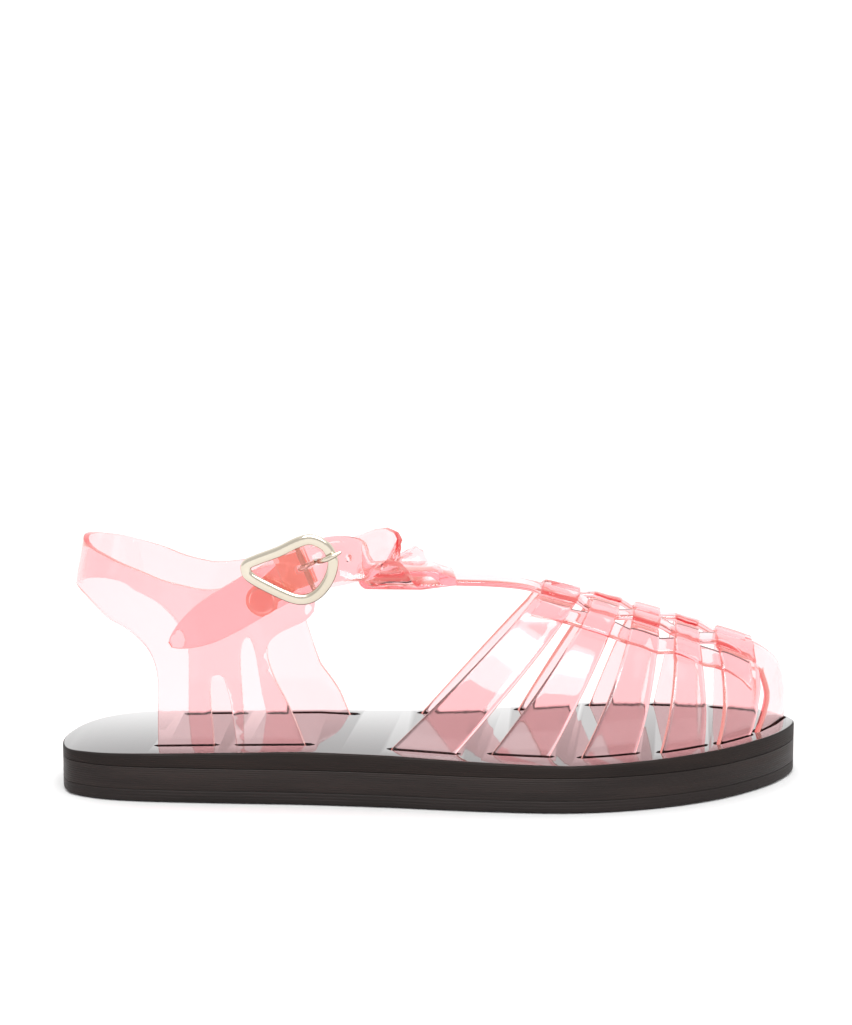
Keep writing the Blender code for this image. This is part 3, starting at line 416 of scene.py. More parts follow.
def set_inputs(item: bpy.types.Node, values: dict) -> None:
    """Sets a node's input values by socket name or number."""
    for name, value in values.items():
        item.inputs[name].default_value = value


def add_node(tree: bpy.types.NodeTree, kind: str, values: dict | None = None,
             **options: object) -> bpy.types.Node:
    """Adds a node.

    Args:
        tree: The tree that it goes into.
        kind: Its type.
        values: Its input values by socket name or number.
        options: Its settings, such as operation.

    Returns:
        The node.
    """
    made = tree.nodes.new(kind)
    for name, option in options.items():
        setattr(made, name, option)
    set_inputs(made, values or {})
    return made


def link_all(tree: bpy.types.NodeTree, *links: tuple) -> None:
    """Links nodes; each link names a node, its output, the next node and its input."""
    for source, output, target, entry in links:
        tree.links.new(source.outputs[output], target.inputs[entry])


@dataclass(frozen=True)
class GrainGroup:
    """Fine uneven surface that every finish shares: a soft mask and a height."""

    name: str = "fine_grain"
    broad_share: float = 0.13
    fine_roughness: float = 0.62

    def tree(self) -> bpy.types.NodeTree:
        """The node group, made once."""
        if self.name in bpy.data.node_groups:
            return bpy.data.node_groups[self.name]
        tree = bpy.data.node_groups.new(self.name, "ShaderNodeTree")
        socket(tree, "Scale", "INPUT", "NodeSocketFloat", 200.0)
        socket(tree, "Stretch", "INPUT", "NodeSocketVector")
        socket(tree, "Mask", "OUTPUT", "NodeSocketFloat")
        socket(tree, "Height", "OUTPUT", "NodeSocketFloat")
        start = add_node(tree, "NodeGroupInput")
        end = add_node(tree, "NodeGroupOutput")
        place = add_node(tree, "ShaderNodeTexCoord")
        stretch = add_node(tree, "ShaderNodeVectorMath", operation="MULTIPLY")
        broad = add_node(tree, "ShaderNodeTexNoise", {"Detail": 3.0})
        fine = add_node(tree, "ShaderNodeTexNoise", {"Detail": 6.0, "Roughness": self.fine_roughness})
        share = add_node(tree, "ShaderNodeMath", {1: self.broad_share}, operation="MULTIPLY")
        link_all(tree, (place, "Object", stretch, 0), (start, "Stretch", stretch, 1),
                 (start, "Scale", share, 0), (stretch, "Vector", broad, "Vector"),
                 (share, "Value", broad, "Scale"), (stretch, "Vector", fine, "Vector"),
                 (start, "Scale", fine, "Scale"), (broad, "Fac", end, "Mask"),
                 (fine, "Fac", end, "Height"))
        return tree


@dataclass(frozen=True)
class ColourDriftGroup:
    """Slow change between two colours over a surface."""

    name: str = "colour_drift"

    def tree(self) -> bpy.types.NodeTree:
        """The node group, made once."""
        if self.name in bpy.data.node_groups:
            return bpy.data.node_groups[self.name]
        tree = bpy.data.node_groups.new(self.name, "ShaderNodeTree")
        socket(tree, "First", "INPUT", "NodeSocketColor")
        socket(tree, "Second", "INPUT", "NodeSocketColor")
        socket(tree, "Mask", "INPUT", "NodeSocketFloat", 0.5)
        socket(tree, "Low", "INPUT", "NodeSocketFloat", 0.35)
        socket(tree, "High", "INPUT", "NodeSocketFloat", 0.65)
        socket(tree, "Colour", "OUTPUT", "NodeSocketColor")
        start = add_node(tree, "NodeGroupInput")
        end = add_node(tree, "NodeGroupOutput")
        spread = add_node(tree, "ShaderNodeMapRange")
        blend = add_node(tree, "ShaderNodeMix", data_type="RGBA")
        link_all(tree, (start, "Mask", spread, "Value"), (start, "Low", spread, "From Min"),
                 (start, "High", spread, "From Max"), (spread, "Result", blend, "Factor"),
                 (start, "First", blend, "A"), (start, "Second", blend, "B"),
                 (blend, "Result", end, "Colour"))
        return tree


@dataclass(frozen=True)
class Finish:
    """What every finish has: a name, two close colours, gloss and a fine uneven surface."""

    name: str
    first: Point
    second: Point
    roughness: Pair
    grain: float
    relief: float
    stretch: Point = (1.0, 1.0, 1.0)
    metallic: float = 0.0
    coat: float = 0.0
    specular: float = 0.5
    gloss_mask: Pair = (0.3, 0.7)

    def start(self) -> tuple[bpy.types.Material, bpy.types.Node, bpy.types.Node]:
        """A material with the shared groups in place.

        Returns:
            The material, its Principled shader and its grain node.
        """
        item = bpy.data.materials.new(self.name)
        item.use_nodes = True
        tree = item.node_tree
        shader = tree.nodes["Principled BSDF"]
        set_inputs(shader, {"Metallic": self.metallic, "Coat Weight": self.coat,
                            "Specular IOR Level": self.specular})
        grain = add_node(tree, "ShaderNodeGroup", node_tree=GrainGroup().tree())
        set_inputs(grain, {"Scale": self.grain, "Stretch": self.stretch})
        drift = add_node(tree, "ShaderNodeGroup", node_tree=ColourDriftGroup().tree())
        set_inputs(drift, {"First": (*self.first, 1.0), "Second": (*self.second, 1.0)})
        gloss = add_node(tree, "ShaderNodeMapRange", {
            "From Min": self.gloss_mask[0], "From Max": self.gloss_mask[1],
            "To Min": self.roughness[0], "To Max": self.roughness[1]})
        bump = add_node(tree, "ShaderNodeBump", {"Strength": 1.0, "Distance": self.relief}, name="relief")
        link_all(tree, (grain, "Mask", drift, "Mask"), (drift, "Colour", shader, "Base Color"),
                 (grain, "Mask", gloss, "Value"), (gloss, "Result", shader, "Roughness"),
                 (grain, "Height", bump, "Height"), (bump, "Normal", shader, "Normal"))
        return item, shader, grain

    def material(self) -> bpy.types.Material:
        """The finished material."""
        return self.start()[0]


@dataclass(frozen=True)
class JellyFinish(Finish):
    """Clear tinted plastic: light takes its colour at the surface and along its way through the wall.

    Paths that have turned many times inside the wall end in a painted coral glow, an emission that stands in
    for the light they would still carry.
    """

    tint: Point = (0.985, 0.05, 0.15)
    density: float = 52.0
    glow: Point = (0.99, 0.66, 0.68)
    # Painted glow: colour of the emission that takes over from paths that have turned many times inside the
    # wall.
    painted_deep_glow: Point = (0.92, 0.70, 0.58)
    turns: float = 6.5
    bending: float = 1.47

    def material(self) -> bpy.types.Material:
        """The clear jelly, which lets soft light through to what is under it.

        Returns:
            The material.
        """
        item, shader, _ = self.start()
        tree = item.node_tree
        set_inputs(shader, {"Transmission Weight": 1.0, "IOR": self.bending})
        volume = add_node(tree, "ShaderNodeVolumeAbsorption",
                          {"Color": (*self.tint, 1.0), "Density": self.density})
        path = add_node(tree, "ShaderNodeLightPath")
        clear = add_node(tree, "ShaderNodeBsdfTransparent", {"Color": (*self.glow, 1.0)})
        mix = add_node(tree, "ShaderNodeMixShader")
        # Painted glow: this emission stands in for light lost after many turns inside the wall; it is no
        # lamp.
        inside = add_node(tree, "ShaderNodeEmission", {"Color": (*self.painted_deep_glow, 1.0)})
        turned = add_node(tree, "ShaderNodeMath")
        late = add_node(tree, "ShaderNodeMath", {1: self.turns}, operation="GREATER_THAN")
        painted_glow_swap = add_node(tree, "ShaderNodeMixShader")
        output = tree.nodes["Material Output"]
        link_all(tree, (path, "Ray Depth", turned, 0), (path, "Glossy Depth", turned, 1),
                 (turned, "Value", late, 0), (late, "Value", painted_glow_swap, "Fac"),
                 (shader, "BSDF", painted_glow_swap, 1), (inside, "Emission", painted_glow_swap, 2),
                 (path, "Is Shadow Ray", mix, "Fac"), (painted_glow_swap, "Shader", mix, 1), (clear, "BSDF", mix, 2),
                 (mix, "Shader", output, "Surface"), (volume, "Volume", output, "Volume"))
        return item


@dataclass(frozen=True)
class MetalFinish(Finish):
    """Polished metal with painted darker reflections: its colour turns to a dark brown where the surface
    turns away from view.
    """

    # Painted dark reflection: the colour mixed in where the surface turns away from view.
    edge: Point = (0.22, 0.17, 0.12)
    turned_away: Pair = (0.50, 0.85)

    def material(self) -> bpy.types.Material:
        """The metal.

        Returns:
            The material.
        """
        item, shader, _ = self.start()
        tree = item.node_tree
        # Painted reflection: by viewing angle the base colour is mixed towards the dark edge colour.
        facing = add_node(tree, "ShaderNodeLayerWeight", {"Blend": 0.5})
        spread = add_node(tree, "ShaderNodeMapRange", interpolation_type="SMOOTHSTEP")
        set_inputs(spread, {"From Min": self.turned_away[0], "From Max": self.turned_away[1]})
        blend = add_node(tree, "ShaderNodeMix", {"B": (*self.edge, 1.0)}, data_type="RGBA")
        tree.links.new(shader.inputs["Base Color"].links[0].from_socket, blend.inputs["A"])
        link_all(tree, (facing, "Facing", spread, "Value"), (spread, "Result", blend, "Factor"),
                 (blend, "Result", shader, "Base Color"))
        return item


@dataclass(frozen=True)
class StackedEdgeFinish(Finish):
    """Dark sole material with fine level lines, as the trimmed edge of stacked sheets."""

    line_scale: float = 420.0
    line_relief: float = 0.00010
    line_strength: float = 0.6
    layered: Point = (0.25, 0.25, 3.0)

    def material(self) -> bpy.types.Material:
        """The sole's edge material.

        Returns:
            The material.
        """
        item, shader, grain = self.start()
        tree = item.node_tree
        place = add_node(tree, "ShaderNodeTexCoord")
        lines = add_node(tree, "ShaderNodeTexWave", bands_direction="Z")
        set_inputs(lines, {"Scale": self.line_scale, "Distortion": 1.6, "Detail": 3.0, "Detail Scale": 0.6})
        bump = add_node(tree, "ShaderNodeBump",
                        {"Strength": self.line_strength, "Distance": self.line_relief})
        link_all(tree, (place, "Object", lines, "Vector"), (lines, "Fac", bump, "Height"),
                 (tree.nodes["relief"], "Normal", bump, "Normal"), (bump, "Normal", shader, "Normal"))
        set_inputs(grain, {"Stretch": self.layered})
        return item


JELLY = JellyFinish(
    name="clear_pink_jelly", first=(1.0, 0.77, 0.78), second=(1.0, 0.75, 0.76), roughness=(0.03, 0.07),
    grain=90.0, relief=0.00004)
CORAL_JELLY = JellyFinish(
    name="dense_coral_jelly", first=(0.98, 0.72, 0.64), second=(0.98, 0.68, 0.60), roughness=(0.05, 0.10),
    grain=90.0, relief=0.00004, density=75.0)
POLISHED_GOLD = MetalFinish(
    name="polished_pale_gold", first=(0.66, 0.60, 0.50), second=(0.60, 0.54, 0.44), roughness=(0.06, 0.14),
    grain=400.0, relief=0.00001, metallic=1.0)
INSOLE_SKIN = Finish(
    name="glossy_insole_skin", first=(0.012, 0.006, 0.006), second=(0.018, 0.010, 0.010),
    roughness=(0.06, 0.10), grain=60.0, relief=0.00001, coat=1.0)
INSOLE_EDGE = StackedEdgeFinish(
    name="insole_trimmed_edge", first=(0.012, 0.008, 0.007), second=(0.020, 0.013, 0.011),
    roughness=(0.50, 0.65), grain=700.0, relief=0.00004, specular=0.14)
MIDSOLE_EDGE = StackedEdgeFinish(
    name="stacked_midsole", first=(0.013, 0.008, 0.007), second=(0.022, 0.014, 0.012),
    roughness=(0.42, 0.60), grain=700.0, relief=0.00005, specular=0.22)
OUTSOLE_EDGE = StackedEdgeFinish(
    name="outsole_rubber", first=(0.011, 0.007, 0.006), second=(0.018, 0.012, 0.011),
    roughness=(0.45, 0.62), grain=600.0, relief=0.00006, specular=0.22, line_scale=300.0)
WHITE_FLOOR = Finish(
    name="plain_white_floor", first=(0.95, 0.95, 0.95), second=(0.94, 0.94, 0.94), roughness=(0.8, 0.9),
    grain=8.0, relief=0.0)


def dress(item: bpy.types.Object, material: bpy.types.Material, slot: Slot,
          *nodes: str) -> bpy.types.Object:
    """Gives a piece its material and body, and hides the CAD nodes that it stands for.

    Args:
        item: The piece.
        material: Its material.
        slot: Its slot in the record; not used.
        nodes: CAD nodes that it replaces.

    Returns:
        The piece.
    """
    item.data.materials.clear()
    item.data.materials.append(material)
    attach(item, "root")
    if nodes:
        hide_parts(*nodes)
    LOG.info("%s: %d faces", item.name, len(item.data.polygons))
    return item


@dataclass
class LastShape:
    """The form that the sandal is built on: sole outline, footbed and the ridge over the foot.

    Rows of the outline give a share of the length, the outer and the inner edge as shares of the width,
    and a share of the arch's rise. Rows of the crest give shares of the length, the width and the instep.
    """

    length: float = 0.2500
    width: float = 0.0892
    arch_rise: float = 0.0021
    footbed: float = 0.0162
    instep: float = 0.0540
    heel_tip: float = -0.190
    toe_tip: float = 0.203
    outline: tuple = (
        (0.012, -0.352, 0.007, -0.35), (0.044, -0.425, 0.129, -0.15), (0.100, -0.464, 0.193, 0.10),
        (0.200, -0.470, 0.196, 0.50), (0.340, -0.462, 0.199, 1.00), (0.460, -0.473, 0.231, 0.80),
        (0.580, -0.497, 0.337, 0.35), (0.700, -0.491, 0.481, 0.00), (0.800, -0.414, 0.494, 0.30),
        (0.888, -0.272, 0.456, 0.55), (0.948, -0.105, 0.391, 0.65), (0.984, 0.052, 0.314, 0.60),
    )
    crest: tuple = (
        (0.620, 0.024, 0.987), (0.677, 0.080, 0.915), (0.739, 0.113, 0.830), (0.794, 0.147, 0.754),
        (0.848, 0.180, 0.674), (0.913, 0.225, 0.576), (0.948, 0.248, 0.511),
    )
    outline_steps: int = 14
    crest_steps: int = 8
    halves: tuple = field(init=False)
    ridge: np.ndarray = field(init=False)

    def __post_init__(self) -> None:
        """Works out the smooth outline and ridge once."""
        heel = (self.along(0.0), self.across(self.heel_tip))
        toe = (self.along(1.0), self.across(self.toe_tip))
        outer = [(self.along(row[0]), self.across(row[1])) for row in self.outline]
        inner = [(self.along(row[0]), self.across(row[2])) for row in self.outline]
        ring = smooth_line([heel] + outer + [toe] + inner[::-1], self.outline_steps, closed=True)
        split = self.outline_steps * (len(self.outline) + 1)
        self.halves = (ring[:split + 1], np.vstack([ring[split:], ring[:1]])[::-1])
        self.ridge = smooth_line([(self.along(r[0]), self.across(r[1]), self.footbed + r[2] * self.instep)
                                  for r in self.crest], self.crest_steps)

    def along(self, share: float) -> float:
        """X of a place given as a share of the length from the heel."""
        return (share - 0.5) * self.length

    def across(self, share: float) -> float:
        """Y of a place given as a share of the width from the middle line."""
        return share * self.width

    def edge_y(self, x: float, side: Side) -> float:
        """Y of the sole's edge at x on one side."""
        half = self.halves[0] if side is Side.OUTER else self.halves[1]
        return float(np.interp(x, half[:, 0], half[:, 1]))

    def footbed_z(self, x: float | np.ndarray) -> float | np.ndarray:
        """Height of the footbed at x."""
        places = [self.along(row[0]) for row in self.outline]
        rises = [row[3] * self.arch_rise for row in self.outline]
        return self.footbed + np.interp(x, places, rises)

    def foot_point(self, x: float, side: Side, inset: float) -> np.ndarray:
        """Point on the footbed, set in from the sole's edge square to that edge.

        Args:
            x: Place along the sole.
            side: Which edge it is set in from.
            inset: How far.

        Returns:
            The point.
        """
        step = 0.002
        slope = (self.edge_y(x + step, side) - self.edge_y(x - step, side)) / (2.0 * step)
        y = self.edge_y(x, side) - side.value * inset * math.hypot(1.0, slope)
        return np.array([x, y, float(self.footbed_z(x))])

    def crest_point(self, x: float) -> np.ndarray:
        """Point on the ridge at x."""
        return np.array([x, np.interp(x, self.ridge[:, 0], self.ridge[:, 1]),
                         np.interp(x, self.ridge[:, 0], self.ridge[:, 2])])


@dataclass
class WovenCage:
    """Cross straps woven with three bands, the instep strap and its folded loop, as one moulding.

    Rows of the straps, from the rear, give place and width of the crest, of the outer foot and of the
    inner foot as shares of the length, then shares of the outer inset and of the bow. Rows of the band
    line give a place, the middle band's place across the foot and a share of the pitch. Rows of the
    instep give place, height and width of its strap. Rows of the toe give place, place across and
    height of its outer edge, then of its inner edge.
    """

    last: LastShape
    wall: float = 0.0020
    overlap: float = 0.0006
    rounding: float = 0.00095
    foot_level: float = 0.0122
    lateral_inset: float = 0.0100
    medial_inset: float = 0.0045
    arch_power: float = 2.2
    band_width: float = 0.0067
    pitch: float = 0.0116
    strap_bow: float = 0.0026
    strap_points: int = 121
    weave_reach: float = 1.5
    weave_flat: float = 1.6
    band_end: float = 0.6
    side_steps: int = 7
    middle_steps: int = 8
    toe_flare: float = 1.15
    toe_rise: float = 0.0262
    toe_top_width: float = 0.0130
    toe_bulge: float = 0.0008
    loop_width: float = 0.0170
    loop_turn: float = math.radians(8.0)
    loop_ends: Pair = (-0.0245, 0.0085)
    loop_level: float = 0.0690
    loop_gap: float = 0.0025
    loop_lip: Pair = (0.0014, 0.0040)
    loop_slope: Pair = (0.0075, 0.0120)
    loop_end: Pair = (0.0050, 0.0085)
    straps: tuple = (
        (0.677, 0.050, 0.501, 0.088, 0.522, 0.084, 0.92, 0.0),
        (0.739, 0.036, 0.631, 0.078, 0.652, 0.078, 1.20, 0.1),
        (0.794, 0.036, 0.748, 0.072, 0.748, 0.072, 1.10, 0.5),
        (0.848, 0.031, 0.846, 0.058, 0.834, 0.062, 0.84, 0.6),
        (0.913, 0.051, 0.915, 0.044, 0.916, 0.056, 0.70, 1.0),
    )
    band_line: tuple = (
        (0.468, -0.100, 0.84), (0.620, -0.033, 0.84), (0.700, -0.004, 0.86), (0.764, 0.008, 1.00),
        (0.826, 0.038, 0.98), (0.880, 0.080, 0.80), (0.964, 0.147, 0.70),
    )
    instep: tuple = ((0.522, 1.020, 1.00), (0.580, 1.006, 0.92), (0.622, 0.978, 0.72))
    toe: tuple = (
        (0.9515, 0.050, 0.730, 0.970, 0.235, 0.820),
        (0.9580, 0.037, 0.500, 0.982, 0.249, 0.530),
        (0.9545, 0.030, 0.260, 0.984, 0.258, 0.275),
        (0.9460, 0.024, 0.000, 0.983, 0.265, 0.000),
    )

    @property
    def weave(self) -> float:
        """How far a strap or band moves out or in where they cross."""
        return 0.5 * (self.wall - self.overlap)

    def strap_line(self, row: tuple, part: float) -> tuple[np.ndarray, ...]:
        """Crest and feet of one line along a cross strap.

        Args:
            row: The strap's row of the table.
            part: From -1 at the rear edge to 1 at the front edge.

        Returns:
            The crest, the outer foot, the inner foot and how far the outer side bows forward.
        """
        crest, crest_width, outer, outer_width, inner, inner_width, inset, bow = row
        last = self.last
        half = 0.5 * part * last.length
        return (last.crest_point(last.along(crest) + half * crest_width),
                last.foot_point(last.along(outer) + half * outer_width, Side.OUTER,
                                inset * self.lateral_inset),
                last.foot_point(last.along(inner) + half * inner_width, Side.INNER, self.medial_inset),
                np.array([bow * self.strap_bow, 0.0, 0.0]))

    def arch_at(self, line: tuple, y: float) -> np.ndarray:
        """Point of the arch over a crest and its feet.

        Args:
            line: What strap_line gives.
            y: Place across the foot.

        Returns:
            The point.
        """
        top, outer, inner, bow = line
        foot = outer if y < top[1] else inner
        bow = bow if y < top[1] else 0.0 * bow
        reach = min(abs((y - top[1]) / (foot[1] - top[1])), 1.0)
        lift = (1.0 - reach ** self.arch_power) ** (1.0 / self.arch_power)
        point = np.array([foot[0] + (top[0] - foot[0]) * lift, y, foot[2] + (top[2] - foot[2]) * lift])
        return point + bow * 4.0 * lift * (1.0 - lift)

    def band_y(self, x: float) -> float:
        """Y of the middle band at x."""
        return float(np.interp(x, [self.last.along(row[0]) for row in self.band_line],
                               [self.last.across(row[1]) for row in self.band_line]))

    def band_pitch(self, x: float) -> float:
        """Distance between neighbouring bands at x."""
        return self.pitch * float(np.interp(x, [self.last.along(row[0]) for row in self.band_line],
                                            [row[2] for row in self.band_line]))

    def strap_lift(self, x: float, y: float, over_middle: bool) -> float:
        """How far a cross strap stands out or in, where it goes over or under a band.

        Args:
            x: Place along the foot.
            y: Place across the foot.
            over_middle: Whether the strap goes over the middle band.

        Returns:
            The offset, outward where it is above zero.
        """
        turn = (y - self.band_y(x)) / self.band_pitch(x)
        if abs(turn) >= self.weave_reach:
            return 0.0
        flat = max(-1.0, min(1.0, self.weave_flat * math.cos(math.pi * turn)))
        return self.weave * flat * (1.0 if over_middle else -1.0)

    def cross_strap(self, number: int, row: tuple) -> bpy.types.Object:
        """One strap, from its outer foot over the last to its inner foot.

        Args:
            number: Its number from the rear; straps with odd numbers go over the middle band.
            row: Its row of the table.

        Returns:
            The strap.
        """
        columns, lifts = [], []
        for part in PARTS:
            top, outer, inner, _ = line = self.strap_line(row, part)
            points = []
            for turn in np.linspace(-1.0, 1.0, self.strap_points):
                foot = outer if turn < 0.0 else inner
                reach = abs(math.sin(0.5 * math.pi * turn)) ** (2.0 / self.arch_power)
                points.append(self.arch_at(line, top[1] + (foot[1] - top[1]) * reach))
            sunk = [foot * (1.0, 1.0, 0.0) + (0.0, 0.0, self.foot_level) for foot in (outer, inner)]
            points = [sunk[0]] + points + [sunk[1]]
            columns.append(points)
            lifts.append([self.strap_lift(p[0], p[1], number % 2 == 1) for p in points])
        grid = widened(np.array(columns).transpose(1, 0, 2))
        lift = widened(np.array(lifts).T[..., None])[..., 0]
        return ribbon(f"cross_strap_{number}", grid, lift, self.wall, self.rounding, -1.0)

    def band_rows(self, shift: float, stations: list) -> list:
        """Rows of a lengthwise band.

        Args:
            shift: Pitches from the middle band.
            stations: Strap number, part of the strap and band width at each row.

        Returns:
            The left, middle and right point of each row.
        """
        rows = []
        for strap, part, width in stations:
            line = self.strap_line(self.straps[strap], part)
            x = line[0][0]
            y = self.band_y(x) + shift * self.band_pitch(x)
            rows.append([self.arch_at(line, y + side * 0.5 * width) for side in PARTS])
        return rows

    def band_lifts(self, stations: list, over_even: bool) -> list[float]:
        """Offsets of a band at its stations; it goes over the even straps or over the odd ones."""
        return [self.weave if (strap % 2 == 0) == over_even else -self.weave for strap, _, _ in stations]

    def side_band(self, name: str, shift: float) -> bpy.types.Object:
        """An outer or inner band, which ends under the first and the last cross strap.

        Args:
            name: The object's name.
            shift: Pitches from the middle band.

        Returns:
            The band.
        """
        last, width, end = len(self.straps) - 1, self.band_width, self.band_end
        stations = [(0, -end, width), (0, 0.0, width), (0, 1.0, width)]
        stations += [(k, part, width) for k in range(1, last) for part in PARTS]
        stations += [(last, -1.0, width), (last, 0.0, width), (last, end, width)]
        grid = widened(smooth_line(self.band_rows(shift, stations), self.side_steps))
        lifts = smooth_line([[lift] * len(EDGE_SHARES) for lift in self.band_lifts(stations, False)],
                            self.side_steps)
        return ribbon(name, grid, lifts, self.wall, self.rounding, 1.0)

    @property
    def width_direction(self) -> np.ndarray:
        """Direction across the instep strap, from its outer to its inner edge."""
        return np.array([-math.sin(self.loop_turn), math.cos(self.loop_turn), 0.0])

    def toe_rows(self) -> list:
        """Rows of the toe strap, from under the last cross strap to its foot.

        Returns:
            The outer, middle and inner point of each row.
        """
        rows = []
        last = self.last
        for outer_x, outer_y, outer_z, inner_x, inner_y, inner_z in self.toe:
            base = float(last.footbed_z(last.along(outer_x)))
            outer = np.array([last.along(outer_x), last.across(outer_y), base + outer_z * self.toe_rise])
            inner = np.array([last.along(inner_x), last.across(inner_y), base + inner_z * self.toe_rise])
            rows.append([outer, 0.5 * (outer + inner) + (self.toe_bulge, 0.0, 0.0), inner])
        return rows

    def middle_band(self) -> bpy.types.Object:
        """Instep strap, woven stretch and wide toe strap down to its foot.

        Returns:
            The band.
        """
        rows = []
        for share, height, width in self.instep:
            x = self.last.along(share)
            centre = np.array([x, self.band_y(x), self.last.footbed + height * self.last.instep])
            half = 0.5 * width * self.loop_width * self.width_direction
            rows.append([centre - half, centre, centre + half])
        last = len(self.straps) - 1
        stations = [(k, part, self.band_width) for k in range(last) for part in PARTS]
        stations += [(last, -1.0, self.band_width), (last, 0.0, self.toe_flare * self.band_width),
                     (last, 1.0, self.toe_top_width)]
        toe = self.toe_rows()
        lifts = [0.0] * len(rows) + self.band_lifts(stations, True) + [0.0] * len(toe)
        grid = widened(smooth_line(rows + self.band_rows(0.0, stations) + toe, self.middle_steps))
        lifts = smooth_line([[lift] * len(EDGE_SHARES) for lift in lifts], self.middle_steps)
        sunk = grid[-1] * (1.0, 1.0, 0.0) + (0.0, 0.0, self.foot_level)
        grid = np.vstack([grid, [sunk]])
        lifts = np.vstack([lifts, [[0.0] * len(EDGE_SHARES)]])
        return ribbon("middle_band", grid, lifts, self.wall, self.rounding, 1.0)

    def instep_loop(self) -> bpy.types.Object:
        """The folded end of the instep strap, which the ankle strap passes through.

        The lip is the front edge, and the slopes and ends are how far behind it the layers level out.

        Returns:
            The loop.
        """
        rear, front = self.loop_ends
        low, wall = self.loop_level, self.wall
        height = 2.0 * wall + self.loop_gap
        radius, inner_radius = 0.5 * height, 0.5 * self.loop_gap
        centre, middle = rear + radius, low + radius
        outer = [(front, low + lip) for lip in self.loop_lip] + [(front - self.loop_slope[0], low + height)]
        outer += [(centre + radius * math.cos(t), middle + radius * math.sin(t))
                  for t in np.linspace(0.5 * math.pi, 1.5 * math.pi, 19)]
        outer.append((front - self.loop_slope[1], low))
        inner = [(centre + inner_radius * math.cos(t), middle + inner_radius * math.sin(t))
                 for t in np.linspace(0.5 * math.pi, 1.5 * math.pi, 15)]
        inner += [(front - self.loop_end[0], middle - inner_radius),
                  (front - self.loop_end[1], middle + inner_radius)]
        verts, faces = flat_pattern((outer, inner))
        shift = 0.5 * self.loop_width * self.width_direction
        sides = [np.array([(x + sign * shift[0], self.band_y(x) + sign * shift[1], z) for x, z in verts])
                 for sign in (-1.0, 1.0)]
        return round_edges(thick_pattern("instep_loop", faces, *sides), width=0.0006, segments=3, angle=50.0)

    def build(self, jelly: bpy.types.Material) -> bpy.types.Object:
        """The whole moulding.

        Args:
            jelly: Its material.

        Returns:
            The dressed piece.
        """
        straps = [self.cross_strap(k, row) for k, row in enumerate(self.straps)]
        others = straps[1:] + [self.side_band("outer_band", -1.0), self.side_band("inner_band", 1.0)]
        others += [self.middle_band(), self.instep_loop()]
        cage = settle(combine(straps[0], others), sharp=38.0)
        cage.name = "woven_cage"
        return dress(cage, jelly, Slot.JELLY, "forefoot_upper")


@dataclass
class BuckleStack:
    """Places in the buckle: along the strap, up along the bar and outward from the tab's middle.

    The rows of the shank's rise are measured from where it crosses the strap and from the bar, and the
    rows of its rest from the same crossing and from its height over the frame.
    """

    x: float = -0.03934
    z: float = 0.08022
    length: float = 0.0284
    strap_out: float = 0.0073
    tab_y: float = -0.03095
    slope: float = math.radians(22.0)
    pin_slope: float = math.radians(5.0)
    bar_out: float = 0.0036
    frame_out: float = 0.0090
    pin_ring: float = 0.0017
    pin_radius: float = 0.00095
    ring_radius: float = 0.00065
    pin_reach: float = 0.0147
    pin_crossing: float = 0.0055
    frame_thick: float = 0.0020
    gap: float = 0.0003
    shank_rise: tuple = ((-0.0018, 0.0002), (-0.0007, 0.0010), (0.0000, 0.0026), (0.0010, 0.0048))
    shank_rest: tuple = ((0.0026, -0.0008), (0.0044, 0.0000))

    def point(self, ahead: float, up: float, out: float) -> np.ndarray:
        """A point in the shoe's frame."""
        c, s = math.cos(self.slope), math.sin(self.slope)
        return np.array([self.x + ahead * c - up * s, self.tab_y - out, self.z + ahead * s + up * c])

    def pin_point(self, ahead: float, out: float) -> np.ndarray:
        """A point in the pin's own plane."""
        return self.point(ahead * math.cos(self.pin_slope), ahead * math.sin(self.pin_slope), out)

    def shank(self) -> list[Pair]:
        """Path of the pin's shank from its ring through the strap to its tip.

        Returns:
            How far ahead and how far out each point is.
        """
        rest = self.frame_out + 0.5 * self.frame_thick + self.gap + self.pin_radius
        path = [(self.pin_ring, self.bar_out)]
        path += [(self.pin_crossing + ahead, self.bar_out + out) for ahead, out in self.shank_rise]
        path += [(self.pin_crossing + ahead, rest + out) for ahead, out in self.shank_rest]
        return path + [(self.pin_reach, rest)]


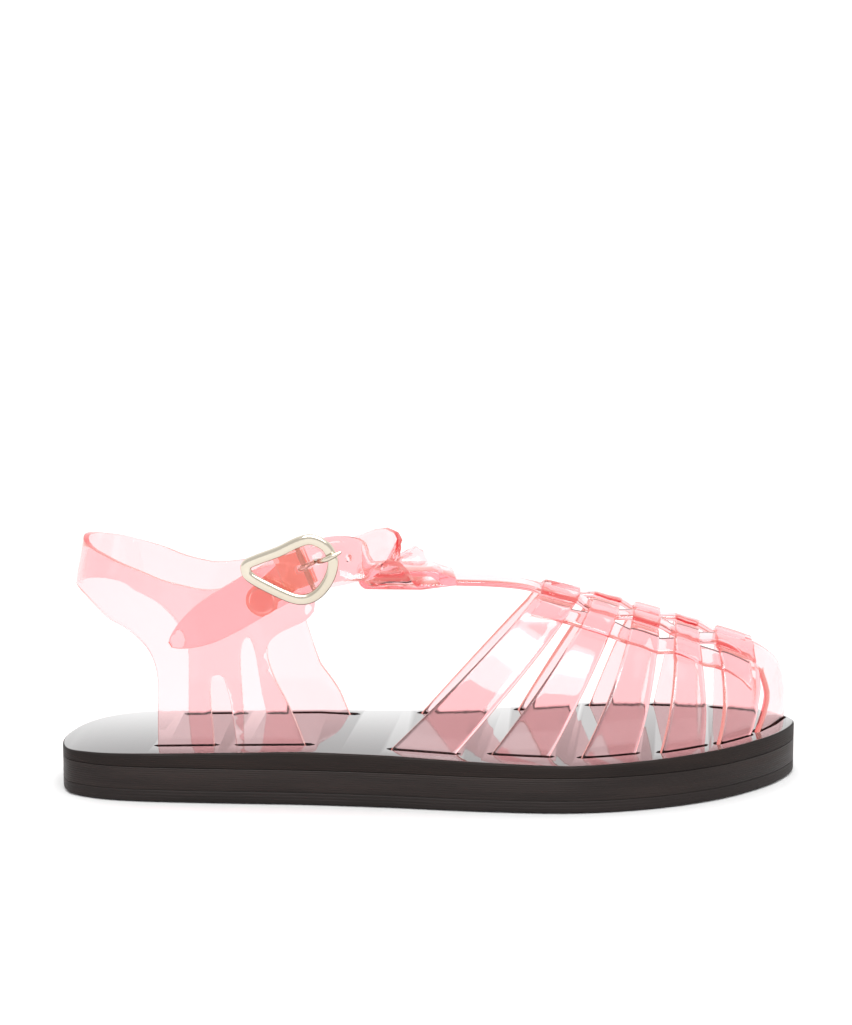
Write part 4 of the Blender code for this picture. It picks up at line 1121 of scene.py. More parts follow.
@dataclass
class HeelPiece:
    """Collar, four legs, buckle tab and ankle strap, cut from one flat pattern and wrapped in place.

    The edges are given as shares of the span, from the middle of the back to the inner side, and of the
    height. Rows of the strap name the piece that they follow, how far ahead, to the side and up they are
    in shares of that piece, and how flat the strap lies: 0 where its width is upright, 1 where its width
    runs along the foot. Rows of the tail give a distance from the tip and a share of the width.
    """

    last: LastShape
    stack: BuckleStack
    cage: WovenCage
    wall: float = 0.0019
    half_width: float = 0.02185
    depth: float = 0.0295
    centre: Pair = (-0.0910, -0.0091)
    span: float = 0.1000
    height: float = 0.0848
    lean: float = 0.20
    level: float = 0.0690
    strap_width: float = 0.0153
    step: float = 0.0019
    slope_step: float = 0.0008
    guide_steps: int = 18
    back_points: int = 121
    hole_points: int = 24
    hole_square: float = 0.7
    hole_nudge: float = 0.001
    slot_share: float = 0.7
    tip_share: float = 0.6
    hole: Pair = (0.0017, 0.0014)
    free_hole: Pair = (0.0009, 0.0012)
    hole_pitch: float = 0.0104
    top: tuple = (
        (-0.952, 0.795), (-0.952, 0.832), (-0.930, 0.900), (-0.865, 0.953), (-0.795, 0.937), (-0.717, 0.893),
        (-0.673, 0.864), (-0.626, 0.840), (-0.570, 0.838), (-0.505, 0.852), (-0.435, 0.873), (-0.368, 0.904),
        (-0.276, 0.938), (-0.184, 0.967), (0.000, 1.000), (0.184, 0.967), (0.276, 0.938), (0.368, 0.904),
        (0.435, 0.873), (0.505, 0.852), (0.570, 0.844), (0.681, 0.861),
    )
    low: tuple = (
        (0.416, 0.144), (0.416, 0.300), (0.418, 0.453), (0.407, 0.538), (0.376, 0.609), (0.314, 0.673),
        (0.252, 0.706), (0.130, 0.790), (0.000, 0.816), (-0.130, 0.797), (-0.223, 0.764), (-0.266, 0.726),
        (-0.344, 0.673), (-0.405, 0.600), (-0.446, 0.508), (-0.452, 0.425), (-0.450, 0.300), (-0.449, 0.144),
    )
    outer_front: tuple = (
        (-0.932, 0.144), (-0.915, 0.212), (-0.865, 0.362), (-0.813, 0.485), (-0.789, 0.577), (-0.796, 0.628),
        (-0.833, 0.670), (-0.918, 0.720), (-0.948, 0.757),
    )
    inner_front: tuple = (
        (0.972, 0.144), (0.960, 0.219), (0.946, 0.308), (0.918, 0.414), (0.891, 0.519), (0.867, 0.602),
        (0.860, 0.648), (0.875, 0.696),
    )
    outer_slot: tuple = (
        (-0.608, 0.144), (-0.603, 0.260), (-0.595, 0.390), (-0.595, 0.448), (-0.605, 0.489), (-0.636, 0.490),
        (-0.649, 0.454), (-0.668, 0.354), (-0.690, 0.144),
    )
    inner_slot: tuple = (
        (0.645, 0.144), (0.640, 0.260), (0.633, 0.425), (0.640, 0.500), (0.662, 0.534), (0.679, 0.501),
        (0.693, 0.429), (0.709, 0.302), (0.738, 0.144),
    )
    strap: tuple = (
        (Anchor.HEEL, 0.000, 1.000, 0.792, 0.00), (Anchor.HEEL, 0.410, 1.000, 0.792, 0.00),
        (Anchor.HEEL, 0.510, 1.000, 0.836, 0.00), (Anchor.HEEL, 0.610, 0.940, 0.858, 0.10),
        (Anchor.HEEL, 0.690, 0.830, 0.893, 0.10), (Anchor.LOOP, -0.260, 1.000, 0.330, 0.14),
        (Anchor.LOOP, -0.150, 0.920, 0.270, 0.42), (Anchor.LOOP, -0.075, 0.860, 0.150, 0.80),
        (Anchor.LOOP, -0.032, 0.740, -0.004, 1.00), (Anchor.LOOP, -0.030, 0.420, 0.000, 1.00),
        (Anchor.LOOP, -0.048, -0.315, 0.000, 1.00), (Anchor.LOOP, -0.074, -0.740, 0.006, 1.00),
        (Anchor.LOOP, -0.094, -0.860, 0.045, 0.97), (Anchor.LOOP, -0.140, -0.970, 0.180, 0.86),
        (Anchor.LOOP, -0.230, -1.080, 0.390, 0.74), (Anchor.LOOP, -0.350, -1.200, 0.550, 0.60),
        (Anchor.BUCKLE, 0.438, 0.360, 0.095, 0.46), (Anchor.BUCKLE, 0.225, 0.740, 0.077, 0.28),
        (Anchor.BUCKLE, 0.000, 1.000, 0.000, 0.25), (Anchor.BUCKLE, -0.285, 0.822, -0.167, 0.31),
        (Anchor.BUCKLE, -0.532, 0.768, -0.306, 0.34), (Anchor.BUCKLE, -0.796, 0.671, -0.471, 0.36),
        (Anchor.BUCKLE, -1.606, 0.330, -0.976, 0.35),
    )
    strap_start: int = 2
    upper_join: tuple = ((-0.0100, 0.30), (0.0000, 0.45))
    lower_join: Pair = (-0.0020, -0.60)
    tail: tuple = ((1.60, 1.00), (0.95, 0.90), (0.50, 0.68), (0.18, 0.40), (0.00, 0.14))
    guide: tuple = field(init=False)

    def __post_init__(self) -> None:
        """Works out the line that the pattern follows."""
        turns = np.linspace(-0.5 * math.pi, 0.5 * math.pi, self.back_points)
        back = np.array([(self.centre[0] - self.depth * math.cos(t),
                          self.centre[1] + self.half_width * math.sin(t), self.level) for t in turns])
        back_widths = np.array([(self.lean * math.cos(t) ** 2, 0.0, 1.0) for t in turns])
        per = self.guide_steps
        strap = smooth_line([(*self.strap_point(k), 0.5 * math.pi * row[4])
                             for k, row in enumerate(self.strap)], per)
        points = strap[:, :3]
        slopes = np.gradient(points, axis=0)
        slopes /= np.linalg.norm(slopes, axis=1, keepdims=True)
        widths = np.stack([-np.sin(strap[:, 3]), 0.0 * strap[:, 3], np.cos(strap[:, 3])], axis=1)
        square = widths - slopes * np.sum(slopes * widths, axis=1, keepdims=True)
        square /= np.linalg.norm(square, axis=1, keepdims=True)
        begun = np.arange(len(strap)) - per * self.strap_start
        share = np.clip(begun / per, 0.0, 1.0)[:, None]
        widths = widths * (1.0 - share) + square * share
        steps = np.linalg.norm(np.diff(back, axis=0), axis=1)
        quarter = 0.5 * steps.sum()
        places = np.concatenate([[0.0], np.cumsum(steps)]) - quarter
        flat = begun > 0
        moves = np.diff(points, axis=0)
        lengths = np.where(flat[1:], np.linalg.norm(moves, axis=1), np.hypot(moves[:, 0], moves[:, 1]))
        strap_places = quarter + np.concatenate([[0.0], np.cumsum(lengths)]) + points[0, 0] - self.centre[0]
        levels = np.where(flat, points[per * self.strap_start, 2], points[:, 2])
        front = 2.0 * quarter
        start = (self.centre[0] + front, self.stack.tab_y, self.level)
        self.guide = (np.concatenate([[-quarter - front], places, strap_places[1:]]),
                      np.vstack([[start], back, points[1:]]),
                      np.vstack([[(0.0, 0.0, 1.0)], back_widths, widths[1:]]),
                      np.concatenate([[self.level], np.full(len(back), self.level), levels[1:]]))

    def strap_point(self, number: int) -> Point:
        """Point of the ankle strap's middle line at a row of its table.

        Args:
            number: The row, which names the piece that it follows.

        Returns:
            The point.
        """
        piece, ahead, side, up = self.strap[number][:4]
        stack, cage = self.stack, self.cage
        if piece is Anchor.HEEL:
            return (self.centre[0] + ahead * self.span, self.centre[1] + side * self.half_width,
                    up * self.height)
        if piece is Anchor.BUCKLE:
            return (stack.x + ahead * stack.length, stack.tab_y - side * stack.strap_out,
                    stack.z + up * stack.length)
        rear, front = cage.loop_ends
        x = 0.5 * (rear + front)
        return (x + ahead * (front - rear), cage.band_y(x) + side * cage.loop_width,
                cage.loop_level + cage.wall + 0.5 * cage.loop_gap + up * cage.loop_width)

    def middle(self, flat: np.ndarray) -> np.ndarray:
        """Points of the middle surface.

        Args:
            flat: Rows of place and height on the pattern.

        Returns:
            The points in the shoe's frame.
        """
        places, points, widths, levels = self.guide
        flat = np.atleast_2d(flat)
        spot = np.stack([np.interp(flat[:, 0], places, points[:, k]) for k in range(3)], axis=1)
        width = np.stack([np.interp(flat[:, 0], places, widths[:, k]) for k in range(3)], axis=1)
        return spot + width * (flat[:, 1] - np.interp(flat[:, 0], places, levels))[:, None]

    def wrapped(self, flat: np.ndarray, out: float) -> np.ndarray:
        """Points of the pattern, moved off the middle surface.

        Args:
            flat: Rows of place and height on the pattern.
            out: How far outward.

        Returns:
            The points in the shoe's frame.
        """
        step = self.slope_step
        run = self.middle(flat + (step, 0.0)) - self.middle(flat - (step, 0.0))
        rise = self.middle(flat + (0.0, step)) - self.middle(flat - (0.0, step))
        normal = np.cross(rise, run)
        return self.middle(flat) + out * normal / np.linalg.norm(normal, axis=1, keepdims=True)

    def station(self, number: int) -> float:
        """Place on the pattern of a row of the ankle strap's table."""
        x, y = self.strap_point(number)[:2]
        places, points = self.guide[:2]
        apart = np.hypot(points[:, 0] - x, points[:, 1] - y)
        apart[places < 0.0] = 1.0
        return float(places[int(np.argmin(apart))])

    def edge(self, table: Sequence[Pair], share: float = 1.0) -> list[Pair]:
        """One edge of the pattern in metres, with its points a share of the step apart."""
        return even_line([(a * self.span, b * self.height) for a, b in table], share * self.step)

    def strap_edge(self, side: float, first: float, tip: float) -> list[Pair]:
        """One long edge of the ankle strap, up to the middle of its rounded tip.

        Args:
            side: 1 for the upper edge and -1 for the lower one.
            first: Place where the edge starts.
            tip: Place of the strap's tip.

        Returns:
            Points on the pattern.
        """
        level = self.strap_point(self.strap_start)[2]
        length = self.tail[0][0] * self.strap_width
        spots = np.linspace(first, tip - length, round((tip - length - first) / self.step) + 1)
        edge = [(float(t), level + side * 0.5 * self.strap_width) for t in spots[:-1]]
        curve = [(tip - far * self.strap_width, level + side * 0.5 * width * self.strap_width)
                 for far, width in self.tail]
        return edge + even_line(curve, self.tip_share * self.step)

    def outline(self) -> list[Pair]:
        """The pattern's whole outline.

        Returns:
            Its points in order, on the flat pattern.
        """
        tip = float(self.guide[0][-1])
        upper = self.strap_edge(1.0, self.station(3), tip)
        lower = self.strap_edge(-1.0, self.station(3), tip)
        level, wide = self.strap_point(self.strap_start)[2], self.strap_width
        near = self.station(self.strap_start)
        ring = self.edge(self.top)[:-1]
        joins = [(near + ahead, level + up * wide) for ahead, up in (*self.upper_join, self.lower_join)]
        ring += even_line([(self.top[-1][0] * self.span, self.top[-1][1] * self.height), *joins[:2],
                           upper[0]], self.step)
        ring += upper[1:] + lower[::-1]
        ring += even_line([lower[0], joins[2],
                           (self.inner_front[-1][0] * self.span, self.inner_front[-1][1] * self.height)],
                          self.step)[1:-1]
        ring += self.edge(self.inner_front[::-1])
        ring += self.edge(self.inner_slot[::-1], self.slot_share)
        ring += self.edge([(-a, b) for a, b in self.low[::-1]])
        ring += self.edge(self.outer_slot, self.slot_share)
        ring += self.edge(self.outer_front)
        return ring

    def holes(self) -> list[list[Pair]]:
        """The strap's holes on the pattern; the pin goes through the first.

        Returns:
            The outline of each hole.
        """
        shank = np.array(self.stack.shank())
        places, points, widths, levels = self.guide
        target = self.stack.pin_point(self.stack.pin_crossing, 0.0)
        flat = np.hypot(points[:, 0] - target[0], points[:, 2] - target[2])
        flat[points[:, 1] > self.stack.tab_y] = 1.0
        best = int(np.argmin(flat))
        place, height = float(places[best]), float(levels[best])
        for _ in range(4):
            here = self.middle(np.array([place, height]))[0]
            out = self.stack.tab_y - here[1]
            gap = self.stack.pin_point(float(np.interp(out, shank[:, 1], shank[:, 0])), out) - here
            run = self.middle(np.array([place + self.hole_nudge, height]))[0] - here
            place += float(gap @ run) / float(run @ run) * self.hole_nudge
            height += float(gap @ widths[best])
        found = []
        for number, level in enumerate((height, levels[best], levels[best])):
            long, wide = self.hole if number == 0 else self.free_hole
            at = place - number * self.hole_pitch
            found.append([(at + long * blunt(math.cos(t), self.hole_square),
                           level + wide * blunt(math.sin(t), self.hole_square))
                          for t in full_turn(self.hole_points)])
        return found

    def build(self, jelly: bpy.types.Material) -> bpy.types.Object:
        """The whole moulding.

        Args:
            jelly: Its material.

        Returns:
            The dressed piece.
        """
        verts, faces = flat_pattern([self.outline()] + self.holes(), self.step)
        item = thick_pattern("heel_collar_and_strap", faces, self.wrapped(verts, -0.5 * self.wall),
                             self.wrapped(verts, 0.5 * self.wall))
        settle(round_edges(item, width=0.0006, segments=3, angle=60.0), sharp=38.0)
        return dress(item, jelly, Slot.JELLY, "heel_upper")

    def leg_lines(self) -> list[np.ndarray]:
        """Lines of the four legs' feet in plan.

        Returns:
            Five points on the middle surface of each leg.
        """
        level = self.low[0][1] * self.height
        spans = ((self.outer_front[0][0], self.outer_slot[-1][0]), (self.outer_slot[0][0], -self.low[0][0]),
                 (-self.low[-1][0], self.inner_slot[0][0]), (self.inner_slot[-1][0], self.inner_front[0][0]))
        return [self.middle(np.array([(t * self.span, level) for t in np.linspace(a, b, 5)]))
                for a, b in spans]


@dataclass
class Buckle:
    """Rounded frame with its bar, pin, and the folded carrier with its stud.

    The line is the frame's middle line in shares of its length, ahead of and above the bar's middle.
    The carrier's places are in metres ahead of the bar, and its over layer adds how far out it lies.
    """

    stack: BuckleStack
    line: tuple = (
        (0.377, 0.035), (0.356, 0.162), (0.239, 0.289), (0.085, 0.320), (-0.176, 0.300), (-0.440, 0.302),
        (-0.585, 0.292), (-0.623, 0.225), (-0.606, 0.137), (-0.465, -0.039), (-0.250, -0.261),
        (-0.092, -0.338), (0.074, -0.320), (0.239, -0.218), (0.352, -0.077),
    )
    band: float = 0.0036
    bar_radius: float = 0.0008
    carrier_wall: float = 0.0009
    carrier_width: float = 0.0120
    carrier_slot: float = 0.0022
    carrier_fold: float = 0.0019
    heel_wall: float = 0.0019
    stud_radius: float = 0.0043
    stud_top: float = 0.0043
    stud_back: float = 0.0180
    stud_drop: float = 0.0056
    stud_points: int = 40
    stud_dome: tuple = ((0.02, 0.0), (0.50, -0.0002), (0.86, -0.0008), (1.0, -0.0016))
    sides: int = 16
    least_turn: float = 0.6
    section_points: int = 20
    section_square: float = 0.75
    bar_post: float = 0.0009
    pin_points: int = 32
    pin_swell: int = 9
    pin_tip: tuple = (0.98, 0.90, 0.72, 0.40)
    under_lift: float = 0.0001
    under_places: tuple = (-0.0072, -0.0030, -0.0012)
    fold_points: int = 17
    over_shoulder: Pair = (-0.0026, 0.78)
    over_layer: tuple = ((-0.0046, 0.0022), (-0.0064, 0.0013), (-0.0088, 0.0012))
    strip_start: float = -0.0031
    strip_margin: float = 1.25
    strip_width: float = 0.98
    strip_arc: tuple = (120, 331, 7)
    slot_ends: Pair = (-0.0029, 0.0032)

    def swept(self, name: str, path: Sequence, across_path: np.ndarray, radius: Sequence[float] | float,
              closed: bool = False) -> bpy.types.Object:
        """A round bar along a flat path.

        Args:
            name: The object's name.
            path: Points of its middle line.
            across_path: Direction square to the path's plane.
            radius: One radius, or one for each point.
            closed: Whether the bar is a ring.

        Returns:
            The bar.
        """
        line = np.array(path)
        count = len(line)
        radii = np.broadcast_to(np.asarray(radius, float), (count,))
        across_path = across_path / np.linalg.norm(across_path)
        points, faces = [], []
        for k in range(count):
            before = line[k] - line[k - 1] if closed or k > 0 else line[1] - line[0]
            after = line[(k + 1) % count] - line[k] if closed or k < count - 1 else line[-1] - line[-2]
            before, after = before / np.linalg.norm(before), after / np.linalg.norm(after)
            run = (before + after) / np.linalg.norm(before + after)
            side = np.cross(across_path, run) / max(self.least_turn, float(run @ after))
            for t in full_turn(self.sides):
                points.append(line[k] + radii[k] * (side * math.cos(t) + across_path * math.sin(t)))
        for k in range(count if closed else count - 1):
            faces += ring_faces(k * self.sides, (k + 1) % count * self.sides, self.sides)
        if not closed:
            faces += [tuple(range(self.sides)), tuple(range((count - 1) * self.sides, count * self.sides))]
        return mesh_object(name, points, faces)

    def frame(self, metal: bpy.types.Material) -> bpy.types.Object:
        """The frame and its bar, which stands in from it on two posts.

        Args:
            metal: Its material.

        Returns:
            The dressed piece.
        """
        size, count = self.stack.length, self.section_points
        line = smooth_line([(a * size, b * size) for a, b in self.line], 6, closed=True)
        run = np.roll(line, -1, axis=0) - np.roll(line, 1, axis=0)
        run /= np.linalg.norm(run, axis=1, keepdims=True)
        spots = list(zip(line, np.stack([run[:, 1], -run[:, 0]], axis=1)))
        points, faces = [], []
        out, thick = self.stack.frame_out, 0.5 * self.stack.frame_thick
        for spot, way in spots:
            for t in full_turn(count):
                ahead, up = spot + way * 0.5 * self.band * blunt(math.cos(t), self.section_square)
                points.append(self.stack.point(ahead, up,
                                               out + thick * blunt(math.sin(t), self.section_square)))
        for k in range(len(spots)):
            faces += ring_faces(k * count, (k + 1) % len(spots) * count, count)
        frame_ring = mesh_object("buckle_frame_polished", points, faces)
        near_bar = sorted((spot for spot, _ in spots), key=lambda spot: abs(spot[0]))[:4]
        top, low = max(spot[1] for spot in near_bar), min(spot[1] for spot in near_bar)
        post, bar_out = self.bar_post, self.stack.bar_out
        corners = [(top, out), (top, bar_out + post), (top - post, bar_out),
                   (low + post, bar_out), (low, bar_out + post), (low, out)]
        ahead = self.stack.point(1.0, 0.0, 0.0) - self.stack.point(0.0, 0.0, 0.0)
        bar = self.swept("bar", [self.stack.point(0.0, v, d) for v, d in corners], ahead, self.bar_radius)
        combine(frame_ring, [bar])
        return dress(settle(frame_ring, sharp=50.0), metal, Slot.METAL, "buckle_frame")

    def pin(self, metal: bpy.types.Material) -> bpy.types.Object:
        """The pin, with its ring around the bar.

        Args:
            metal: Its material.

        Returns:
            The dressed piece.
        """
        stack = self.stack
        side = (stack.point(-math.sin(stack.pin_slope), math.cos(stack.pin_slope), 0.0)
                - stack.point(0.0, 0.0, 0.0))
        around = [stack.pin_point(stack.pin_ring * math.cos(t), stack.bar_out + stack.pin_ring * math.sin(t))
                  for t in full_turn(self.pin_points)]
        ring = self.swept("buckle_pin_polished", around, side, stack.ring_radius, closed=True)
        path = smooth_line(stack.shank(), 4)
        radii = np.full(len(path), stack.pin_radius)
        radii[:self.pin_swell] = np.linspace(stack.ring_radius, stack.pin_radius, self.pin_swell)
        radii[-len(self.pin_tip):] *= self.pin_tip
        shank = self.swept("shank", [stack.pin_point(*p) for p in path], side, radii)
        combine(ring, [shank])
        return dress(settle(ring, sharp=50.0), metal, Slot.METAL, "buckle_pin")

    def fold_line(self, layer: float) -> np.ndarray:
        """Middle line of the folded strip, seen from above.

        Args:
            layer: How far out its under layer is.

        Returns:
            How far ahead and how far out each point is.
        """
        bar_out = self.stack.bar_out
        fold = 0.5 * (layer + bar_out + self.carrier_fold)
        reach = bar_out + self.carrier_fold - fold
        path = [(ahead, layer) for ahead in self.under_places]
        path += [(reach * math.cos(t), fold + reach * math.sin(t))
                 for t in np.linspace(-0.5 * math.pi, 0.5 * math.pi, self.fold_points)]
        path.append((self.over_shoulder[0], bar_out + self.over_shoulder[1] * self.carrier_fold))
        path += [(ahead, layer + out) for ahead, out in self.over_layer]
        return np.array(path)

    def carrier(self, jelly: bpy.types.Material) -> bpy.types.Object:
        """The folded strip that holds the bar on the tab, with its round stud.

        Args:
            jelly: Its material.

        Returns:
            The dressed piece.
        """
        stack = self.stack
        inner = 0.5 * self.heel_wall + stack.gap
        line = self.fold_line(inner + 0.5 * self.carrier_wall + self.under_lift)
        run = np.gradient(line, axis=0)
        run /= np.linalg.norm(run, axis=1, keepdims=True)
        away = np.stack([-run[:, 1], run[:, 0]], axis=1) * 0.5 * self.carrier_wall
        verts, faces = flat_pattern([np.vstack([line + away, (line - away)[::-1]]).tolist()])
        half = 0.5 * self.carrier_width
        sides = [np.array([stack.point(u, sign * half, v) for u, v in verts]) for sign in (-1.0, 1.0)]
        item = thick_pattern("buckle_carrier_clear", faces, *sides)
        margin = self.strip_margin * self.stud_radius
        around = [(-self.stud_back + margin * math.cos(t), -self.stud_drop + margin * math.sin(t))
                  for t in np.radians(np.arange(*self.strip_arc))]
        verts, faces = flat_pattern([[(self.strip_start, sign * self.strip_width * half)
                                      for sign in (-1.0, 1.0)] + around])
        sides = [np.array([stack.point(u, v, inner + far * self.carrier_wall) for u, v in verts])
                 for far in (0.0, 1.0)]
        strip = thick_pattern("strip", faces, *sides)
        (rear, front), wide = self.slot_ends, 0.5 * self.carrier_slot
        verts, faces = flat_pattern([[(rear, -wide), (rear, wide), (front, wide), (front, -wide)]])
        sides = [np.array([stack.point(u, v, stack.bar_out + far * self.carrier_fold) for u, v in verts])
                 for far in (-2.0, 2.0)]
        cutter = thick_pattern("pin_slot", faces, *sides)
        combine(item, [strip, self.stud(inner)])
        combine(item, [cutter], Operation.CUT)
        return dress(settle(item, sharp=38.0), jelly, Slot.JELLY, "buckle_carrier")

    def stud(self, inner: float) -> bpy.types.Object:
        """The stud's low dome.

        Args:
            inner: How far out the strip under it starts.

        Returns:
            The dome, down into the strip.
        """
        profile = smooth_line([(share, self.stud_top + out) for share, out in self.stud_dome], 4).tolist()
        profile += [(1.0, inner + 0.5 * self.carrier_wall)]
        points, faces, count = [], [], self.stud_points
        for share, out in profile:
            points += [self.stack.point(-self.stud_back + share * self.stud_radius * math.cos(t),
                                        -self.stud_drop + share * self.stud_radius * math.sin(t), out)
                       for t in full_turn(count)]
        for k in range(len(profile) - 1):
            faces += ring_faces(k * count, (k + 1) * count, count)
        faces += [tuple(range(count)), tuple(range(len(points) - count, len(points)))]
        return mesh_object("stud", points, faces)


@dataclass
class StackedSole:
    """Outsole, midsole and slit insole as trimmed layers."""

    last: LastShape
    cage: WovenCage
    heel: HeelPiece
    outsole: float = 0.0042
    midsole: float = 0.0076
    insole: float = 0.0042
    seam: float = 0.00012
    slices: int = 150
    slit_end: float = 0.0016
    slit_gap: float = 0.0008
    outsole_round: Pair = (0.0011, 0.0001)
    midsole_round: Pair = (0.0001, 0.0002)
    insole_round: Pair = (0.0002, 0.0008)
    round_points: int = 5
    flat_top: float = 0.97

    def layer(self, name: str, bottom: float, top: float | Callable, rounding: Pair) -> bpy.types.Object:
        """One layer with rounded edges.

        Args:
            name: The object's name.
            bottom: Height of its underside.
            top: Height of its top, or what gives that height at x.
            rounding: Radius of its lower edge and of its top edge.

        Returns:
            The layer.
        """
        last = self.last
        low_round, top_round = rounding
        turn = np.linspace(0.0, math.pi, self.slices)
        places = -0.5 * last.length * np.cos(turn)
        outer = [(x, last.edge_y(x, Side.OUTER)) for x in places]
        inner = [(x, last.edge_y(x, Side.INNER)) for x in places[1:-1]]
        ring = np.array(outer + inner[::-1])
        around = np.roll(ring, -1, axis=0) - np.roll(ring, 1, axis=0)
        around /= np.linalg.norm(around, axis=1, keepdims=True)
        inward = np.stack([-around[:, 1], around[:, 0]], axis=1)
        turns = np.linspace(0.0, 0.5 * math.pi, self.round_points)
        profile = [(low_round * (1.0 - math.sin(t)), 0.0, low_round * (1.0 - math.cos(t))) for t in turns]
        profile += [(0.0, 0.5, 0.0)]
        profile += [(top_round * (1.0 - math.cos(t)), 1.0, top_round * (math.sin(t) - 1.0)) for t in turns]
        high = top(ring[:, 0]) if callable(top) else top
        points, faces, count = [], [], len(ring)
        for inset, share, rise in profile:
            z = (1.0 - share) * bottom + share * high + rise
            points.append(np.column_stack([ring + inward * inset, np.broadcast_to(z, (count,))]))
        for k in range(len(profile) - 1):
            faces += ring_faces(k * count, (k + 1) * count, count)
        for base in (0, (len(profile) - 1) * count):
            mirror = [base] + [base + count - k for k in range(1, self.slices - 1)]
            for k in range(self.slices - 1):
                after = mirror[k + 1] if k + 1 < self.slices - 1 else base + self.slices - 1
                faces.append(tuple(dict.fromkeys((base + k, base + k + 1, after, mirror[k]))))
        return mesh_object(name, np.vstack(points), faces)

    def slit(self, name: str, line: np.ndarray, wall: float) -> bpy.types.Object:
        """A cutter for one foot's slit.

        Args:
            name: The object's name.
            line: Middle line of the foot.
            wall: Thickness of the foot.

        Returns:
            The cutter.
        """
        first = (line[1] - line[0]) / np.linalg.norm(line[1] - line[0])
        last = (line[-1] - line[-2]) / np.linalg.norm(line[-1] - line[-2])
        longer = np.vstack([[line[0] - first * self.slit_end], line, [line[-1] + last * self.slit_end]])
        grid = np.array([longer + (0.0, 0.0, z) for z in (-3.0 * self.insole, 2.0 * self.insole)])
        return ribbon(name, grid, np.zeros(grid.shape[:2]), wall + 2.0 * self.slit_gap, 1e-6, 1.0)

    def build(self, finishes: dict[Slot, bpy.types.Material], edge: bpy.types.Material) -> None:
        """All three layers.

        Args:
            finishes: The material of each layer's slot.
            edge: The material of the insole's trimmed side.
        """
        low = self.outsole + self.seam
        high = low + self.midsole + self.seam
        outsole = self.layer("outsole_trimmed", 0.0, self.outsole, self.outsole_round)
        dress(settle(outsole), finishes[Slot.OUTSOLE], Slot.OUTSOLE, "outsole")
        midsole = self.layer("midsole_trimmed", low, low + self.midsole, self.midsole_round)
        dress(settle(midsole), finishes[Slot.MIDSOLE], Slot.MIDSOLE, "midsole")
        insole = self.layer("insole_slit", high, self.last.footbed_z, self.insole_round)
        cutters = []
        for k, row in enumerate(self.cage.straps):
            lines = [self.cage.strap_line(row, part) for part in PARTS]
            cutters += [self.slit(f"slit_{k}_{foot}", np.array([line[foot] for line in lines]),
                                  self.cage.wall) for foot in (1, 2)]
        cutters.append(self.slit("slit_toe", np.array(self.cage.toe_rows()[-1]), self.cage.wall))
        cutters += [self.slit(f"slit_leg_{k}", line, self.heel.wall)
                    for k, line in enumerate(self.heel.leg_lines())]
        combine(insole, cutters, Operation.CUT)
        dress(settle(insole, sharp=35.0), finishes[Slot.INSOLE], Slot.INSOLE, "insole")
        insole.data.materials.append(edge)
        for face in insole.data.polygons:
            face.material_index = 0 if face.normal.z > self.flat_top else 1


@dataclass(frozen=True)
class SoftLamp:
    """A large soft lamp, aimed at the sandal."""

    name: str
    place: Point
    size: float
    power: float
    mirrored_only: bool = False
    target: Point = (0.03, 0.0, 0.05)

    def build(self) -> None:
        """Adds the lamp; one that is only mirrored shows in glossy surfaces and lights no dull ones."""
        data = bpy.data.lights.new(self.name, "AREA")
        data.size = self.size
        data.energy = self.power
        item = bpy.data.objects.new(self.name, data)
        item.location = self.place
        way = Vector(self.target) - Vector(self.place)
        item.rotation_euler = way.to_track_quat("-Z", "Y").to_euler()
        bpy.context.scene.collection.objects.link(item)
        if self.mirrored_only:
            item.visible_diffuse = False
            item.visible_transmission = False


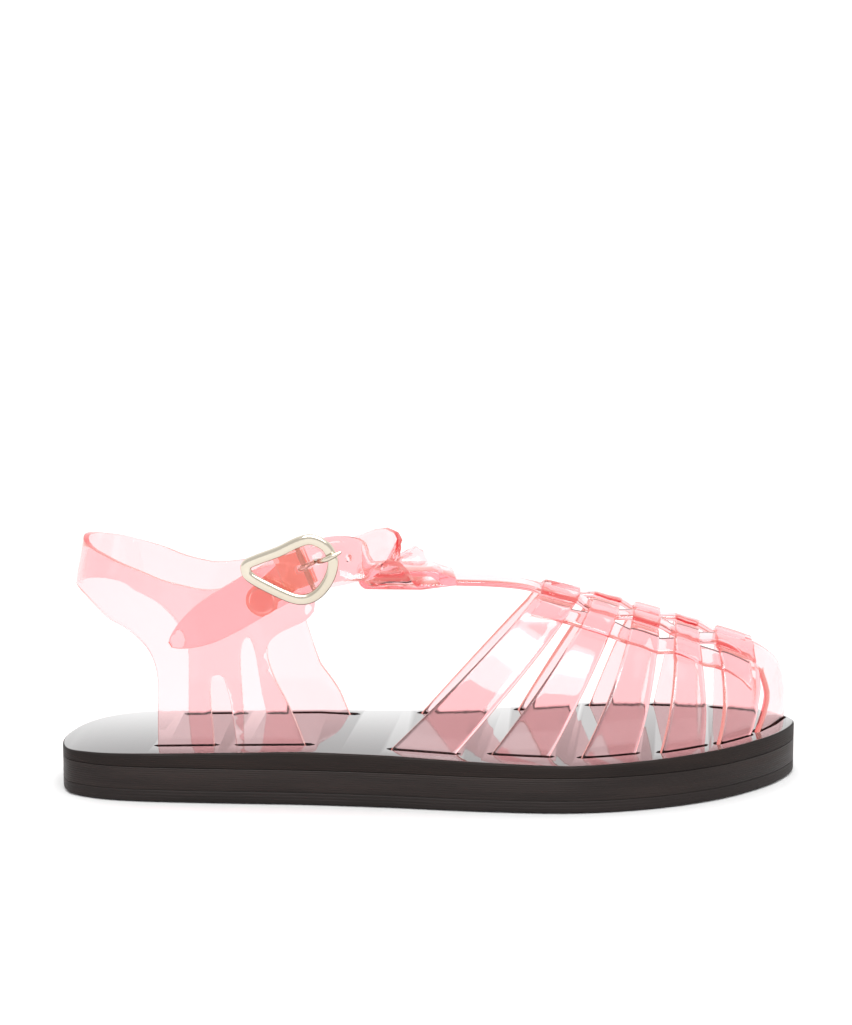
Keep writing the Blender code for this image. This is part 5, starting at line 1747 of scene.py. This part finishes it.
@dataclass
class PhotoStudio:
    """White floor, soft white surroundings, two large lamps and the camera at the photograph's angle.

    The surroundings grow from the front share to full brightness between the two Y of the front edge.
    """

    aim: Point = (-0.00097, -0.0109, 0.09464)
    azimuth: float = math.radians(5.0)
    elevation: float = math.radians(10.7)
    distance: float = 1.05
    lens: float = 109.24
    sensor: float = 36.0
    clip: Pair = (0.01, 100.0)
    surround: float = 1.35
    front_share: float = 0.62
    front_edge: Pair = (-0.75, 0.10)
    floor_reach: float = 25.0
    floor_drop: float = 0.0002
    lamps: tuple = (
        SoftLamp("front_softbox", (0.15, -0.85, 1.40), size=0.8, power=8.0),
        SoftLamp("shine_softbox", (0.02, -1.08, 1.22), size=1.15, power=34.0, mirrored_only=True),
    )

    def build(self) -> None:
        """Sets up the whole studio."""
        self.floor()
        self.surroundings()
        for lamp in self.lamps:
            lamp.build()
        self.camera()

    def floor(self) -> None:
        """The plain white floor."""
        far = self.floor_reach
        floor = mesh_object("studio_floor", [(-far, -far, 0), (far, -far, 0), (far, far, 0), (-far, far, 0)],
                            [(0, 1, 2, 3)])
        floor.location.z = -self.floor_drop
        floor.data.materials.append(WHITE_FLOOR.material())

    def surroundings(self) -> None:
        """White all round, and less bright on the camera's side."""
        world = bpy.data.worlds.new("white_surround")
        world.use_nodes = True
        tree = world.node_tree
        light = tree.nodes["Background"]
        set_inputs(light, {"Color": (1.0, 1.0, 1.0, 1.0)})
        place = add_node(tree, "ShaderNodeTexCoord")
        split = add_node(tree, "ShaderNodeSeparateXYZ")
        ramp = add_node(tree, "ShaderNodeMapRange", interpolation_type="SMOOTHSTEP")
        set_inputs(ramp, {"From Min": self.front_edge[0], "From Max": self.front_edge[1],
                          "To Min": self.front_share * self.surround, "To Max": self.surround})
        path = add_node(tree, "ShaderNodeLightPath")
        pick = add_node(tree, "ShaderNodeMix", {"B": 1.0})
        link_all(tree, (place, "Generated", split, "Vector"), (split, "Y", ramp, "Value"),
                 (ramp, "Result", pick, "A"), (path, "Is Camera Ray", pick, "Factor"),
                 (pick, "Result", light, "Strength"))
        bpy.context.scene.world = world
        bpy.context.scene.view_settings.view_transform = "Standard"

    def camera(self) -> None:
        """The camera, which looks down a little from the sandal's outer side."""
        data = bpy.data.cameras.new("photo_camera")
        data.sensor_width = self.sensor
        data.lens = self.lens
        data.clip_start, data.clip_end = self.clip
        item = bpy.data.objects.new("photo_camera", data)
        back = Vector((math.sin(self.azimuth) * math.cos(self.elevation),
                       -math.cos(self.azimuth) * math.cos(self.elevation), math.sin(self.elevation)))
        item.location = Vector(self.aim) + self.distance * back
        item.rotation_euler = (-back).to_track_quat("-Z", "Y").to_euler()
        bpy.context.scene.collection.objects.link(item)
        bpy.context.scene.camera = item


def main() -> None:
    """Builds and dresses the sandal, then its studio."""
    logging.basicConfig(level=logging.INFO, format="%(name)s %(message)s")
    jelly = JELLY.material()
    coral = CORAL_JELLY.material()
    metal = POLISHED_GOLD.material()
    soles = {Slot.INSOLE: INSOLE_SKIN.material(), Slot.MIDSOLE: MIDSOLE_EDGE.material(),
             Slot.OUTSOLE: OUTSOLE_EDGE.material()}
    last = LastShape()
    stack = BuckleStack()
    cage = WovenCage(last)
    heel = HeelPiece(last, stack, cage)
    buckle = Buckle(stack)
    StackedSole(last, cage, heel).build(soles, INSOLE_EDGE.material())
    cage.build(jelly)
    heel.build(jelly)
    buckle.frame(metal)
    buckle.pin(metal)
    buckle.carrier(coral)
    PhotoStudio().build()


if __name__ == "__main__":
    main()
